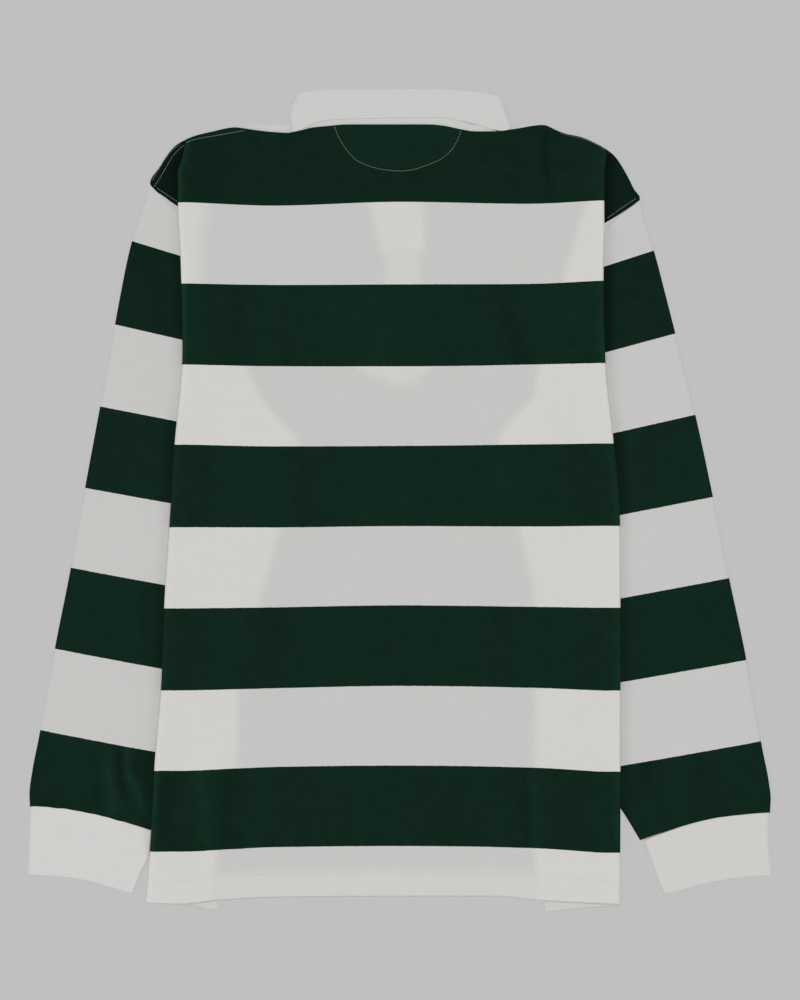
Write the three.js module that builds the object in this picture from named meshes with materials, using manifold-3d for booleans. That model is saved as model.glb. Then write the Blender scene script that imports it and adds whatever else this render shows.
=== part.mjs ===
// A long-sleeved polo shirt in heavy jersey, laid face down with its sides tucked under.
// Millimetres. X runs across the shirt, +Y towards the collar, +Z up from the table.
// The back panel lies on top. Under it come the front, a tucked pleat along each side, and the sleeves.

import * as THREE from "three";
import { mergeVertices } from "three/addons/utils/BufferGeometryUtils.js";
import Module from "manifold-3d";

const wasm = await Module();
wasm.setup();

// ---------------------------------------------------------------- driving sizes

const CLOTH = 1.3; // jersey wall
const GAP = 0.3; // between neighbouring pieces
const CUFF_WALL = 1.9; // cuffs and collar are doubled cloth
const COLLAR_WALL = 2.2;
const STAND_WALL = 1.3;
const SLEEVE_HOLLOW = 0.5; // air between the two layers of a sleeve where it lies flat
const CUFF_HOLLOW = 0.5;
const TUCK_INNER_TOP = 3; // height of the tucked layers where they end under the back
const TUCK_INSET = 0.8; // they lie this far inside the back's folded edge
const TUCK_HEM_LAYER = 2.1; // their lower half runs a little further than their upper half
const TUCK_HEM_STEP = 4;
const TUCK_ROUND = 1.1; // width of their rounded outer edge
const TUCK_RIM = 6; // and of the stiffer strip along it
const TUCK_CLEAR = 4; // they stay up this far past the sleeve's inner edge
const TUCK_DOWN = 8; // and lie on the table from here
const TUCK_SLOPE = 2.4; // their inner edge thins over this width
const TUCK_OVERLAP = 12; // least width of them that lies on a sleeve
const TUCK_MARGIN = 12; // the front stays up this far past a tuck
const TUCK_FALL = 38; // and comes down to the table over this width
const COLLAR_LIFT = COLLAR_WALL + GAP; // the front lies on the collar's front leaves
const LIP_WIDTH = 3.2; // the back's folded side edge
const LIP_CROWN = 1.2; // its roundest part
const EDGE_ROUND = 0.8; // how far cloth edges are rounded down
const FOLD_SHARE = 0.45; // height of the back's outermost line, as a share of its lip's
const EDGE_SHARE = 0.7; // the same of a tuck's side edges
const END_SHARE = 0.75; // and of its ends
const HEM_DEPTH = 23;
const HEM_EXTRA = 0.9; // second layer of the turned hem
const HEM_SLOPE = 2; // which starts over this width
const HEM_ROUND = 1.2; // width of the hem's rounded edge
const FRONT_SHORT = 2.5; // the front's upper edge lies this far below the back's
const FRONT_RAISED = 3; // and its hem this far above it
const LOFT_FROM_EDGE = 26; // a sleeve's loft rises over this width from its folds
const LOFT_FROM_BODY = 34; // and over this width from the body
const COLLAR_FOLD = { fall: 0.7, share: 0.12 }; // the leaf's rounded upper fold
const FRONT_LEAF_WALL = 2.1;
const STAND_INSET = 3; // the stand's fold lies this far inside the leaf's
const CUT_REACH = 20; // cutting solids reach this far past what they cut
const BUTTON_SIDES = 20;
const TOP_ZONE = 250; // the body's rows are level below this height
const HEM_ZONE = -330; // and above this one
const BODY_LEVELS = 18;
const TUCK_LEVELS = 15;

const SLEEVE_FLAT = 2 * CLOTH + SLEEVE_HOLLOW;
const CUFF_FLAT = 2 * CUFF_WALL + CUFF_HOLLOW;
const BACK_OVER_FRONT = CLOTH + GAP;

// ---------------------------------------------------------------- tables of the outline

// Upper edge of the back: left shoulder, neckline, right shoulder.
const SHOULDERS = [
  { x: -201, y: 339 },
  { x: -193, y: 342 },
  { x: -179, y: 345.5 },
  { x: -155, y: 350 },
  { x: -145, y: 348.7 },
  { x: -123, y: 346 },
  { x: -106, y: 345 },
  { x: -93.5, y: 347 },
  { x: -85, y: 349.5 },
  { x: -66, y: 351.5 },
  { x: -52, y: 352.7 },
  { x: -32, y: 352.8 },
  { x: -12, y: 352.8 },
  { x: 8, y: 352.8 },
  { x: 28, y: 352.7 },
  { x: 42, y: 351.3 },
  { x: 56, y: 348.3 },
  { x: 70, y: 346.2 },
  { x: 93.5, y: 346.4 },
  { x: 108, y: 348.7 },
  { x: 134, y: 352.3 },
  { x: 147, y: 347 },
  { x: 155, y: 344 },
  { x: 169, y: 341 },
  { x: 187, y: 333 },
  { x: 194, y: 329 },
];

// Lower edge of the back.
const HEM = [
  { x: -239, y: -378.4 },
  { x: -207, y: -379.6 },
  { x: -172, y: -376 },
  { x: -123, y: -373.7 },
  { x: 0, y: -372.7 },
  { x: 93, y: -372.7 },
  { x: 136, y: -376.5 },
  { x: 206, y: -379.8 },
];

// Folded side edges of the body.
const LEFT_SIDE = [
  { y: 339, x: -201 },
  { y: 320, x: -205.4 },
  { y: 308, x: -209 },
  { y: 276, x: -208.8 },
  { y: 226, x: -206.3 },
  { y: 141, x: -204.5 },
  { y: 51, x: -212 },
  { y: -23, x: -216.7 },
  { y: -94, x: -221.4 },
  { y: -169, x: -224.2 },
  { y: -249, x: -230.8 },
  { y: -329, x: -235 },
  { y: -379, x: -239.2 },
];

const RIGHT_SIDE = [
  { y: 329, x: 194 },
  { y: 305, x: 191.3 },
  { y: 261, x: 191.3 },
  { y: 207, x: 190.4 },
  { y: 130, x: 192.2 },
  { y: 55, x: 199.8 },
  { y: -23, x: 205.9 },
  { y: -103, x: 206.3 },
  { y: -380, x: 206.3 },
];

// Tucked layers under each side: outer edge where it shows at the shoulder corner, and inner edge.
const LEFT_TUCK = {
  side: -1,
  corner: [
    { y: 338.5, x: -201.5 },
    { y: 334.6, x: -209 },
    { y: 327, x: -216.7 },
    { y: 313, x: -226 },
    { y: 298, x: -235 },
    { y: 292.3, x: -231.2 },
    { y: 286, x: -221.8 },
    { y: 281.2, x: -215.6 },
    { y: 276.4, x: -208.4 },
  ],
  inner: [
    { y: 339, x: -164 },
    { y: 250, x: -158 },
    { y: 150, x: -142 },
    { y: 56, x: -97 },
    { y: -28, x: -113 },
    { y: -94, x: -130 },
    { y: -178, x: -152 },
    { y: -254, x: -155 },
    { y: -340, x: -171 },
    { y: -388, x: -171.6 },
  ],
  hem: [
    { x: -239, y: -378 },
    { x: -209, y: -380 },
    { x: -171.6, y: -387 },
  ],
  // Height of its upper side at the body's folded edge, more where the sleeve lies below.
  height: [
    { y: 340, z: 4.2 },
    { y: 285, z: 4.2 },
    { y: 256, z: 6.2 },
    { y: -312, z: 6.2 },
    { y: -350, z: 4.4 },
    { y: -388, z: 4.2 },
  ],
  sleeveEnd: -322,
};

const RIGHT_TUCK = {
  side: 1,
  corner: [
    { y: 328.6, x: 194.4 },
    { y: 323.4, x: 200.7 },
    { y: 315.8, x: 206.3 },
    { y: 302.7, x: 213.8 },
    { y: 291.4, x: 219.5 },
    { y: 283.4, x: 225 },
    { y: 278.2, x: 218.6 },
    { y: 269.8, x: 206.3 },
    { y: 261.3, x: 192 },
  ],
  inner: [
    { y: 329, x: 146 },
    { y: 250, x: 141 },
    { y: 127, x: 131 },
    { y: 56, x: 98 },
    { y: -28, x: 103 },
    { y: -94, x: 126 },
    { y: -254, x: 128 },
    { y: -388, x: 136.8 },
  ],
  hem: [
    { x: 136.8, y: -387.8 },
    { x: 168.7, y: -384.5 },
    { x: 206.3, y: -381.6 },
  ],
  height: [
    { y: 340, z: 4.2 },
    { y: 275, z: 4.2 },
    { y: 244, z: 6.2 },
    { y: -296, z: 6.2 },
    { y: -350, z: 4.4 },
    { y: -388, z: 4.2 },
  ],
  sleeveEnd: -296,
};

// Cross lines down a sleeve, from its outer fold to its underarm side, which lies under the body.
// bow lifts a line towards the collar, most at the share of its length named by peak.
const LEFT_SLEEVE = {
  side: -1,
  lines: [
    { ox: -235.6, oy: 296.7, ix: -184, iy: 250, bow: -1.5, peak: 0.3, loft: 0.2 },
    { ox: -246, oy: 265, ix: -183, iy: 240, bow: -0.8, peak: 0.3, loft: 0.9 },
    { ox: -255, oy: 235, ix: -182, iy: 218, bow: 0, peak: 0.5, loft: 1.2 },
    { ox: -264.6, oy: 188, ix: -181, iy: 171, bow: 0, peak: 0.5, loft: 1.3 },
    { ox: -274, oy: 136, ix: -181, iy: 118, bow: 0, peak: 0.5, loft: 1.3 },
    { ox: -283.4, oy: 84.6, ix: -183, iy: 66, bow: 0, peak: 0.5, loft: 1.4 },
    { ox: -295.6, oy: 18.8, ix: -189, iy: -3, bow: 0, peak: 0.5, loft: 1.5 },
    { ox: -303.2, oy: -23.5, ix: -192, iy: -46, bow: 0, peak: 0.5, loft: 1.5 },
    { ox: -310.7, oy: -65.8, ix: -195, iy: -88, bow: 0, peak: 0.5, loft: 1.6 },
    { ox: -323.8, oy: -131.6, ix: -198, iy: -158, bow: 0, peak: 0.5, loft: 1.8 },
    { ox: -332.4, oy: -178.6, ix: -201, iy: -206, bow: 0, peak: 0.5, loft: 2 },
    { ox: -340.8, oy: -225.6, ix: -206, iy: -252, bow: 0, peak: 0.5, loft: 2.4 },
    { ox: -346.4, oy: -253.8, ix: -215, iy: -280.6, bow: 1.6, peak: 0.42, loft: 2.6 },
    { ox: -349.3, oy: -277.3, ix: -226, iy: -300.2, bow: 4, peak: 0.43, loft: 2.4 },
    { ox: -348.8, oy: -288.2, ix: -232.6, iy: -311.2, bow: 5.2, peak: 0.45, loft: 1.6 },
  ],
};

const RIGHT_SLEEVE = {
  side: 1,
  lines: [
    { ox: 225.6, oy: 282.4, ix: 167, iy: 236, bow: -0.5, peak: 0.3, loft: 0.2 },
    { ox: 232.7, oy: 254.7, ix: 167, iy: 228, bow: 0, peak: 0.5, loft: 0.9 },
    { ox: 241.1, oy: 225.6, ix: 166, iy: 205, bow: 0, peak: 0.5, loft: 1.2 },
    { ox: 249.6, oy: 192.7, ix: 166, iy: 171, bow: 0, peak: 0.5, loft: 1.3 },
    { ox: 258, oy: 159.8, ix: 167, iy: 137, bow: 0, peak: 0.5, loft: 1.3 },
    { ox: 268.4, oy: 117.5, ix: 169, iy: 94, bow: 0, peak: 0.5, loft: 1.4 },
    { ox: 278.7, oy: 75.2, ix: 173, iy: 51, bow: 0, peak: 0.5, loft: 1.4 },
    { ox: 292.8, oy: 9.4, ix: 181, iy: -15, bow: 0, peak: 0.5, loft: 1.5 },
    { ox: 301.3, oy: -32.9, ix: 182, iy: -58, bow: 0, peak: 0.5, loft: 1.6 },
    { ox: 309.7, oy: -75.2, ix: 182, iy: -101, bow: 0, peak: 0.5, loft: 1.7 },
    { ox: 323.8, oy: -141, ix: 183, iy: -170, bow: 0, peak: 0.5, loft: 1.8 },
    { ox: 332.3, oy: -188, ix: 185, iy: -217, bow: 0, peak: 0.5, loft: 2 },
    { ox: 340.8, oy: -235, ix: 189, iy: -262, bow: 0.5, peak: 0.5, loft: 2.4 },
    { ox: 346.4, oy: -263.2, ix: 200, iy: -279.5, bow: 2, peak: 0.5, loft: 2.6 },
    { ox: 348.5, oy: -281, ix: 214, iy: -301, bow: 4.5, peak: 0.5, loft: 2.4 },
    { ox: 347.9, oy: -294, ix: 225.2, iy: -319.8, bow: 6.4, peak: 0.5, loft: 1.6 },
  ],
};

const LEFT_CUFF = {
  side: -1,
  lines: [
    { ox: -347.9, oy: -288.9, ix: -232.7, iy: -312, bow: 5.2, peak: 0.45, loft: 0.6 },
    { ox: -348.6, oy: -300, ix: -234.3, iy: -321.2, bow: 5, peak: 0.46, loft: 0.9 },
    { ox: -349.4, oy: -318, ix: -236.4, iy: -335.5, bow: 4.8, peak: 0.48, loft: 0.9 },
    { ox: -350.1, oy: -336, ix: -243.5, iy: -349, bow: 4.6, peak: 0.5, loft: 0.7 },
    { ox: -350.6, oy: -352, ix: -251.9, iy: -370.1, bow: 4.8, peak: 0.5, loft: 0.4 },
  ],
};

const RIGHT_CUFF = {
  side: 1,
  lines: [
    { ox: 347.3, oy: -294.7, ix: 228.8, iy: -320.8, bow: 6.4, peak: 0.5, loft: 0.6 },
    { ox: 346.6, oy: -306, ix: 232, iy: -329, bow: 6, peak: 0.5, loft: 0.9 },
    { ox: 346.8, oy: -322, ix: 236.4, iy: -340.3, bow: 5.4, peak: 0.5, loft: 0.9 },
    { ox: 348, oy: -338, ix: 241, iy: -354.4, bow: 4.8, peak: 0.48, loft: 0.7 },
    { ox: 349.7, oy: -353.1, ix: 247.7, iy: -370.7, bow: 4.3, peak: 0.45, loft: 0.4 },
  ],
};

// The collar's back leaf: folded edge at its top, free edge over the stand.
const COLLAR = [
  { x: -105, fold: 379.5, free: 345.7 },
  { x: -99, fold: 380.7, free: 346.5 },
  { x: -93.5, fold: 383.5, free: 347.8 },
  { x: -88, fold: 384.8, free: 351 },
  { x: -78, fold: 386.3, free: 355.2 },
  { x: -52, fold: 387, free: 358 },
  { x: -12, fold: 387.3, free: 359 },
  { x: 35, fold: 387.3, free: 359.7 },
  { x: 63.5, fold: 385.4, free: 354.9 },
  { x: 79, fold: 383.5, free: 350.6 },
  { x: 88, fold: 381.8, free: 348.2 },
  { x: 94.5, fold: 380.2, free: 347.1 },
  { x: 105, fold: 378.6, free: 348.8 },
];

// Its sides, down from the folded edge.
const COLLAR_SIDES = [
  { share: 0, left: -99.2, right: 94.5 },
  { share: 0.15, left: -101.3, right: 97 },
  { share: 0.35, left: -103.7, right: 99.3 },
  { share: 0.55, left: -105, right: 101.3 },
  { share: 0.75, left: -103.9, right: 103.5 },
  { share: 0.9, left: -103.2, right: 104.4 },
  { share: 1, left: -103, right: 104.5 },
];

// Front leaves of the collar, under the front. Only their upper edge shows, beyond the shoulders.
const FRONT_LEAVES = [
  {
    root: [-97, 362],
    neck: [-102, 353.4],
    crest: [-136, 353.1],
    tip: [-148.5, 351.9],
    edge: [-150, 347],
    point: [-66, 240],
    centre: [-25, 293],
    fold: [-72, 326],
    end: [-97, 344],
  },
  {
    root: [92, 362],
    neck: [97, 351.5],
    crest: [118, 352.9],
    tip: [124, 352.5],
    edge: [126, 348],
    point: [62, 240],
    centre: [21, 293],
    fold: [68, 326],
    end: [92, 344],
  },
];

const NECK = { x: -2.5, y: 352, halfWidth: 90.5, depth: 61, standDepth: 27 }; // front neckline
const NECK_STEPS = 18;
const PLACKET = { x: -2, width: 36, top: 289, bottom: 111, depth: 1.7, liftHalf: 30, fallHalf: 62 };
const BUTTONS = { count: 3, radius: 5.5, depth: 1.1, first: 274, pitch: 62, slack: 0.3, pocket: 1.4 };

// ---------------------------------------------------------------- curves and steps

const clamp = (v, low, high) => Math.min(high, Math.max(low, v));
const mix = (a, b, t) => a + (b - a) * t;

function smoothstep(from, to, v) {
  const t = clamp((v - from) / (to - from), 0, 1);
  return t * t * (3 - 2 * t);
}

// A smooth curve through a table's rows that never overshoots them, level past both ends.
function through(rows, at, value) {
  const sorted = [...rows].sort((p, q) => p[at] - q[at]);
  const xs = sorted.map((row) => row[at]);
  const ys = sorted.map((row) => row[value]);
  const steps = xs.slice(1).map((x, i) => (ys[i + 1] - ys[i]) / (x - xs[i]));
  const slopes = xs.map((_, i) => {
    if (i === 0 || i === xs.length - 1) return i === 0 ? steps[0] : steps[i - 1];
    const before = steps[i - 1];
    const after = steps[i];
    return before * after <= 0 ? 0 : (2 * before * after) / (before + after);
  });
  return (x) => {
    if (x <= xs[0]) return ys[0];
    if (x >= xs[xs.length - 1]) return ys[ys.length - 1];
    const i = xs.findIndex((edge) => edge > x) - 1;
    const h = xs[i + 1] - xs[i];
    const t = (x - xs[i]) / h;
    const low = ys[i] * (1 + 2 * t) * (1 - t) ** 2 + slopes[i] * h * t * (1 - t) ** 2;
    const high = ys[i + 1] * t * t * (3 - 2 * t) - slopes[i + 1] * h * t * t * (1 - t);
    return low + high;
  };
}

const shoulderY = through(SHOULDERS, "x", "y");
const hemY = through(HEM, "x", "y");
const leftX = through(LEFT_SIDE, "y", "x");
const rightX = through(RIGHT_SIDE, "y", "x");
for (const tuck of [LEFT_TUCK, RIGHT_TUCK]) {
  tuck.bodyX = tuck.side < 0 ? leftX : rightX;
  tuck.innerX = through(tuck.inner, "y", "x");
  tuck.hemY = through(tuck.hem, "x", "y");
  tuck.edgeZ = through(tuck.height, "y", "z");
}

// ---------------------------------------------------------------- heights of the layers

// Upper side of a tuck: highest under the body's folded edge, lower towards its inner edge.
function tuckTop(tuck, x, y) {
  const share = clamp((x - tuck.bodyX(y)) / (tuck.innerX(y) - tuck.bodyX(y)), 0, 1);
  return mix(tuck.edgeZ(y), TUCK_INNER_TOP, share);
}

function tuckLift(tuck, x, y) {
  const past = (tuck.innerX(y) - x) * tuck.side - TUCK_MARGIN;
  return (tuckTop(tuck, x, y) + GAP) * (1 - smoothstep(0, TUCK_FALL, past));
}

function placketLift(x, y) {
  const across = 1 - smoothstep(PLACKET.liftHalf, PLACKET.fallHalf, Math.abs(x - PLACKET.x));
  const along = smoothstep(PLACKET.bottom - 50, PLACKET.bottom - 18, y);
  return (PLACKET.depth + GAP) * across * along;
}

// Underside of the front over whatever lies below it.
function frontUnder(x, y) {
  const collar = COLLAR_LIFT * smoothstep(180, 226, y);
  return Math.max(
    tuckLift(LEFT_TUCK, x, y),
    tuckLift(RIGHT_TUCK, x, y),
    placketLift(x, y),
    collar,
  );
}

const backUnder = (x, y) => frontUnder(x, y) + BACK_OVER_FRONT;

// ---------------------------------------------------------------- mesh makers

function indexed(points, triangles) {
  const geometry = new THREE.BufferGeometry();
  geometry.setAttribute("position", new THREE.Float32BufferAttribute(points, 3));
  geometry.setIndex(triangles);
  return geometry;
}

// A sheet of cloth from a grid of { x, y, top, bottom }, columns left to right, rows collar to hem.
function slab(grid) {
  const rows = grid.length;
  const cols = grid[0].length;
  const points = [];
  const triangles = [];
  for (const side of ["top", "bottom"]) {
    for (const row of grid) {
      for (const p of row) points.push(p.x, p.y, p[side]);
    }
  }
  const at = (i, j, below = 0) => below * rows * cols + i * cols + j;
  for (let i = 0; i < rows - 1; i += 1) {
    for (let j = 0; j < cols - 1; j += 1) {
      triangles.push(at(i, j), at(i + 1, j), at(i + 1, j + 1));
      triangles.push(at(i, j), at(i + 1, j + 1), at(i, j + 1));
      triangles.push(at(i, j, 1), at(i + 1, j + 1, 1), at(i + 1, j, 1));
      triangles.push(at(i, j, 1), at(i, j + 1, 1), at(i + 1, j + 1, 1));
    }
  }
  const wall = ([i, j], [k, l]) => {
    triangles.push(at(i, j), at(i, j, 1), at(k, l, 1));
    triangles.push(at(i, j), at(k, l, 1), at(k, l));
  };
  for (let i = 0; i < rows - 1; i += 1) {
    wall([i, 0], [i + 1, 0]);
    wall([i + 1, cols - 1], [i, cols - 1]);
  }
  for (let j = 0; j < cols - 1; j += 1) {
    wall([rows - 1, j], [rows - 1, j + 1]);
    wall([0, j + 1], [0, j]);
  }
  return indexed(points, triangles);
}

// A flattened tube. Each ring holds the same number of points in its outer and inner loops,
// counterclockwise seen from the first ring's open end.
function flatTube(rings) {
  const count = rings[0].outer.length;
  const points = [];
  const triangles = [];
  for (const ring of rings) {
    for (const p of [...ring.outer, ...ring.inner]) points.push(p.x, p.y, p.z);
  }
  const at = (i, k, inner) => i * 2 * count + (inner ? count : 0) + (k % count);
  const quad = (a, b, c, d) => triangles.push(a, b, c, a, c, d);
  for (let k = 0; k < count; k += 1) {
    for (let i = 0; i < rings.length - 1; i += 1) {
      quad(at(i, k), at(i + 1, k), at(i + 1, k + 1), at(i, k + 1));
      quad(at(i, k, 1), at(i, k + 1, 1), at(i + 1, k + 1, 1), at(i + 1, k, 1));
    }
    const last = rings.length - 1;
    quad(at(0, k), at(0, k + 1), at(0, k + 1, 1), at(0, k, 1));
    quad(at(last, k), at(last, k, 1), at(last, k + 1, 1), at(last, k + 1));
  }
  return indexed(points, triangles);
}

// Stations across a flattened tube: distance in from an edge, and share of the half height there.
const EDGE_STATIONS = [
  { inset: 0, rise: 0.12 },
  { inset: 0.9, rise: 0.78 },
  { inset: 2.8, rise: 1 },
];

// Both loops of one ring. place(share, inset) gives a point of the plan, top(point) its upper side.
function ringLoops({ place, top, floor, wall, inside }) {
  const stations = [
    ...EDGE_STATIONS.map((s) => ({ share: 0, inset: s.inset, rise: s.rise })),
    ...inside.map((share) => ({ share, inset: 0, rise: 1 })),
    ...[...EDGE_STATIONS].reverse().map((s) => ({ share: 1, inset: -s.inset, rise: s.rise })),
  ];
  const loop = (isInner) => {
    const upper = [];
    const lower = [];
    for (const s of stations) {
      const atEdge = s.share === 0 || s.share === 1;
      const sign = s.share === 0 ? 1 : -1;
      const inset = atEdge && isInner ? s.inset + sign * wall : s.inset;
      const p = place(s.share, inset);
      const ceiling = top(p) - (isInner ? wall : 0);
      const bottom = floor + (isInner ? wall : 0);
      const middle = (ceiling + bottom) / 2;
      upper.push({ ...p, z: mix(middle, ceiling, s.rise) });
      lower.push({ ...p, z: mix(middle, bottom, s.rise) });
    }
    return [...upper, ...lower.reverse()];
  };
  return { outer: loop(false), inner: loop(true) };
}

function solid(geometry) {
  const plain = geometry.clone();
  plain.deleteAttribute("normal");
  plain.deleteAttribute("uv");
  const merged = mergeVertices(plain, 1e-4);
  const vertProperties = new Float32Array(merged.attributes.position.array);
  const triVerts = new Uint32Array(merged.index.array);
  return new wasm.Manifold(new wasm.Mesh({ numProp: 3, vertProperties, triVerts }));
}

function fromSolid(body) {
  const mesh = body.getMesh();
  return indexed(Array.from(mesh.vertProperties), Array.from(mesh.triVerts));
}

function prism(outline, low, high) {
  const shape = new THREE.Shape(outline.map(([x, y]) => new THREE.Vector2(x, y)));
  const geometry = new THREE.ExtrudeGeometry(shape, { depth: high - low, bevelEnabled: false });
  return geometry.translate(0, 0, low);
}

// ---------------------------------------------------------------- front and back

const SHOULDER_LEFT = SHOULDERS[0].x;
const SHOULDER_RIGHT = SHOULDERS[SHOULDERS.length - 1].x;

// Columns across the body: a share of its width, and a distance in from a side edge.
// They run through the corners of its upper edge.
function bodyColumns(insets) {
  const left = insets.map((inset) => ({ share: 0, inset }));
  const middle = SHOULDERS.slice(1, -1).map(({ x }) => ({
    share: (x - SHOULDER_LEFT) / (SHOULDER_RIGHT - SHOULDER_LEFT),
    inset: 0,
  }));
  const right = [...insets].reverse().map((inset) => ({ share: 1, inset: -inset }));
  return [...left, ...middle, ...right];
}

// Rows down the body. Each gives its height for the plan point's upper and lower limits.
function bodyRows(hemSteps) {
  const rows = [];
  for (const t of [0, 0.02, 0.3, 0.65]) rows.push((upper) => mix(upper, TOP_ZONE, t));
  for (let i = 0; i <= BODY_LEVELS; i += 1) {
    rows.push(() => mix(TOP_ZONE, HEM_ZONE, i / BODY_LEVELS));
  }
  for (const step of hemSteps) rows.push((_, lower) => lower + step);
  return rows;
}

function bodyGrid({ insets, hemSteps, upperEdge, lowerEdge, finish }) {
  const columns = bodyColumns(insets);
  return bodyRows(hemSteps).map((height, i) =>
    columns.map(({ share, inset }, j) => {
      const acrossTop = mix(SHOULDER_LEFT, SHOULDER_RIGHT, share) + inset;
      const acrossHem = mix(HEM[0].x, HEM[HEM.length - 1].x, share) + inset;
      const y = height(upperEdge(acrossTop), lowerEdge(acrossHem));
      const x = mix(leftX(y), rightX(y), share) + inset;
      return finish({ x, y }, i, j, columns.length);
    }),
  );
}

// The back's side edges fold down over the front's, and its hem is turned up once.
function backPanel() {
  return slab(
    bodyGrid({
      insets: [0, LIP_CROWN, LIP_WIDTH],
      hemSteps: [HEM_DEPTH + HEM_SLOPE, HEM_DEPTH, HEM_ROUND, 0],
      upperEdge: shoulderY,
      lowerEdge: hemY,
      finish: (p, i, j, columns) => {
        const fromEdge = Math.min(j, columns - 1 - j);
        const tuck = j < columns / 2 ? LEFT_TUCK : RIGHT_TUCK;
        const aboveHem = p.y - hemY(p.x);
        const inHem = smoothstep(HEM_DEPTH + 0.9 * HEM_SLOPE, HEM_DEPTH, aboveHem);
        const under = backUnder(p.x, p.y);
        const bottom = fromEdge < 2 ? tuck.edgeZ(p.y) + GAP : under;
        let top = under + CLOTH + HEM_EXTRA * inHem;
        if (fromEdge === 0) top = mix(bottom, top, FOLD_SHARE);
        if (fromEdge === 1) top -= 0.4 * EDGE_ROUND;
        if (aboveHem < HEM_ROUND / 2) top -= EDGE_ROUND;
        return { ...p, top, bottom };
      },
    }),
  );
}

// Front neckline: half an ellipse, widened by margin.
function neckline(margin, steps) {
  return Array.from({ length: steps + 1 }, (_, j) => {
    const turn = Math.PI * (1 + j / steps);
    return [
      NECK.x + (NECK.halfWidth + margin) * Math.cos(turn),
      NECK.y + (NECK.depth + margin) * Math.sin(turn),
    ];
  });
}

// The front: its neckline is cut lower than the back's, and its edges stay inside the back's.
function frontPanel() {
  const whole = slab(
    bodyGrid({
      insets: [LIP_WIDTH + 2 * GAP],
      hemSteps: [HEM_DEPTH + HEM_SLOPE, HEM_DEPTH, FRONT_RAISED],
      upperEdge: (x) => shoulderY(x) - FRONT_SHORT,
      lowerEdge: hemY,
      finish: (p) => {
        const bottom = frontUnder(p.x, p.y);
        return { ...p, top: bottom + CLOTH, bottom };
      },
    }),
  );
  const opening = neckline(GAP, NECK_STEPS);
  const right = opening[opening.length - 1][0];
  const left = opening[0][0];
  const above = NECK.y + CUT_REACH;
  const cutter = prism([...opening, [right, above], [left, above]], -1, CUT_REACH);
  return fromSolid(solid(whole).subtract(solid(cutter)));
}

// ---------------------------------------------------------------- tucked sides

// The layers folded under one side, pressed into one solid. Its shoulder corner shows past the back's
// folded edge, its hem shows below the back's, and its underside steps up over the sleeve.
function tuckedSide(tuck, sleeve) {
  const sleeveInner = through(
    sleeve.lines.map((line) => ({ y: line.iy, x: line.ix })),
    "y",
    "x",
  );
  const cornerEnd = tuck.corner[tuck.corner.length - 1].y;
  const cornerX = through(tuck.corner, "y", "x");
  const rows = tuck.corner.map((row) => () => row.y);
  for (let i = 0; i <= TUCK_LEVELS; i += 1) {
    rows.push(() => mix(cornerEnd - GAP, tuck.sleeveEnd, i / TUCK_LEVELS));
  }
  for (const y of [tuck.sleeveEnd - TUCK_CLEAR, HEM_ZONE, HEM_ZONE - 20]) rows.push(() => y);
  const hemSteps = [TUCK_HEM_STEP + GAP, TUCK_HEM_STEP, EDGE_ROUND, 0];
  for (const step of hemSteps) rows.push((x) => tuck.hemY(x) + step);
  const lastRow = rows.length - 1;
  const hemCorner = tuck.bodyX(HEM_ZONE);
  const grid = rows.map((height, i) => {
    const level = height(hemCorner);
    const inCorner = i < tuck.corner.length;
    const outer = inCorner ? cornerX(level) : tuck.bodyX(level) - TUCK_INSET * tuck.side;
    const inner = tuck.innerX(level);
    const overSleeve = !inCorner && i <= tuck.corner.length + TUCK_LEVELS;
    const covered = Math.max(TUCK_OVERLAP, (outer - sleeveInner(level)) * tuck.side);
    const down = outer - (covered + TUCK_DOWN) * tuck.side;
    const thinned = inner + TUCK_SLOPE * tuck.side;
    const columns = [
      { x: outer, edge: true },
      { x: outer - TUCK_ROUND * tuck.side },
      { x: outer - TUCK_RIM * tuck.side },
      { x: outer - (covered + TUCK_CLEAR) * tuck.side },
      { x: down },
      { x: mix(down, thinned, 0.5) },
      { x: thinned },
      { x: inner, edge: true },
    ];
    const line = columns.map(({ x, edge }, j) => {
      const y = height(x);
      const raised = overSleeve && j < 4;
      const bottom = raised ? SLEEVE_FLAT + GAP : 0;
      let top = tuckTop(tuck, x, y);
      if (i >= lastRow - 2) top = Math.min(top, TUCK_HEM_LAYER);
      if (edge) top = mix(bottom, top, EDGE_SHARE);
      if (i === lastRow || i === 0) top = mix(bottom, top, END_SHARE);
      return { x, y, top, bottom };
    });
    return tuck.side < 0 ? line : line.reverse();
  });
  return slab(grid);
}

// ---------------------------------------------------------------- sleeves and cuffs

// Soft loft of a sleeve between its outer fold and the edge of the body, none under the body.
function loftAt(side, p, inset, loft) {
  const bodyX = side < 0 ? leftX(p.y) : rightX(p.y);
  const clear = (p.x - bodyX) * side;
  const fromBody = p.y > hemY(p.x) ? smoothstep(1, LOFT_FROM_BODY, clear) : 1;
  return loft * fromBody * smoothstep(0, LOFT_FROM_EDGE, inset);
}

function layFlat({ side, lines }, wall, flat, inside) {
  const rings = lines.map((line) => {
    const across = Math.hypot(line.ix - line.ox, line.iy - line.oy);
    const power = Math.log(0.5) / Math.log(line.peak);
    const place = (share, inset) => {
      const t = share + inset / across;
      const lift = line.bow * Math.sin(Math.PI * clamp(t, 0, 1) ** power);
      return { x: mix(line.ox, line.ix, t), y: mix(line.oy, line.iy, t) + lift, t };
    };
    const top = (p) => {
      const inset = Math.min(p.t, 1 - p.t) * across;
      return flat + loftAt(side, p, Math.max(0, inset), line.loft);
    };
    const loops = ringLoops({ place, top, floor: 0, wall, inside });
    if (side < 0) return loops;
    return { outer: [...loops.outer].reverse(), inner: [...loops.inner].reverse() };
  });
  return flatTube(rings);
}

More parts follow.
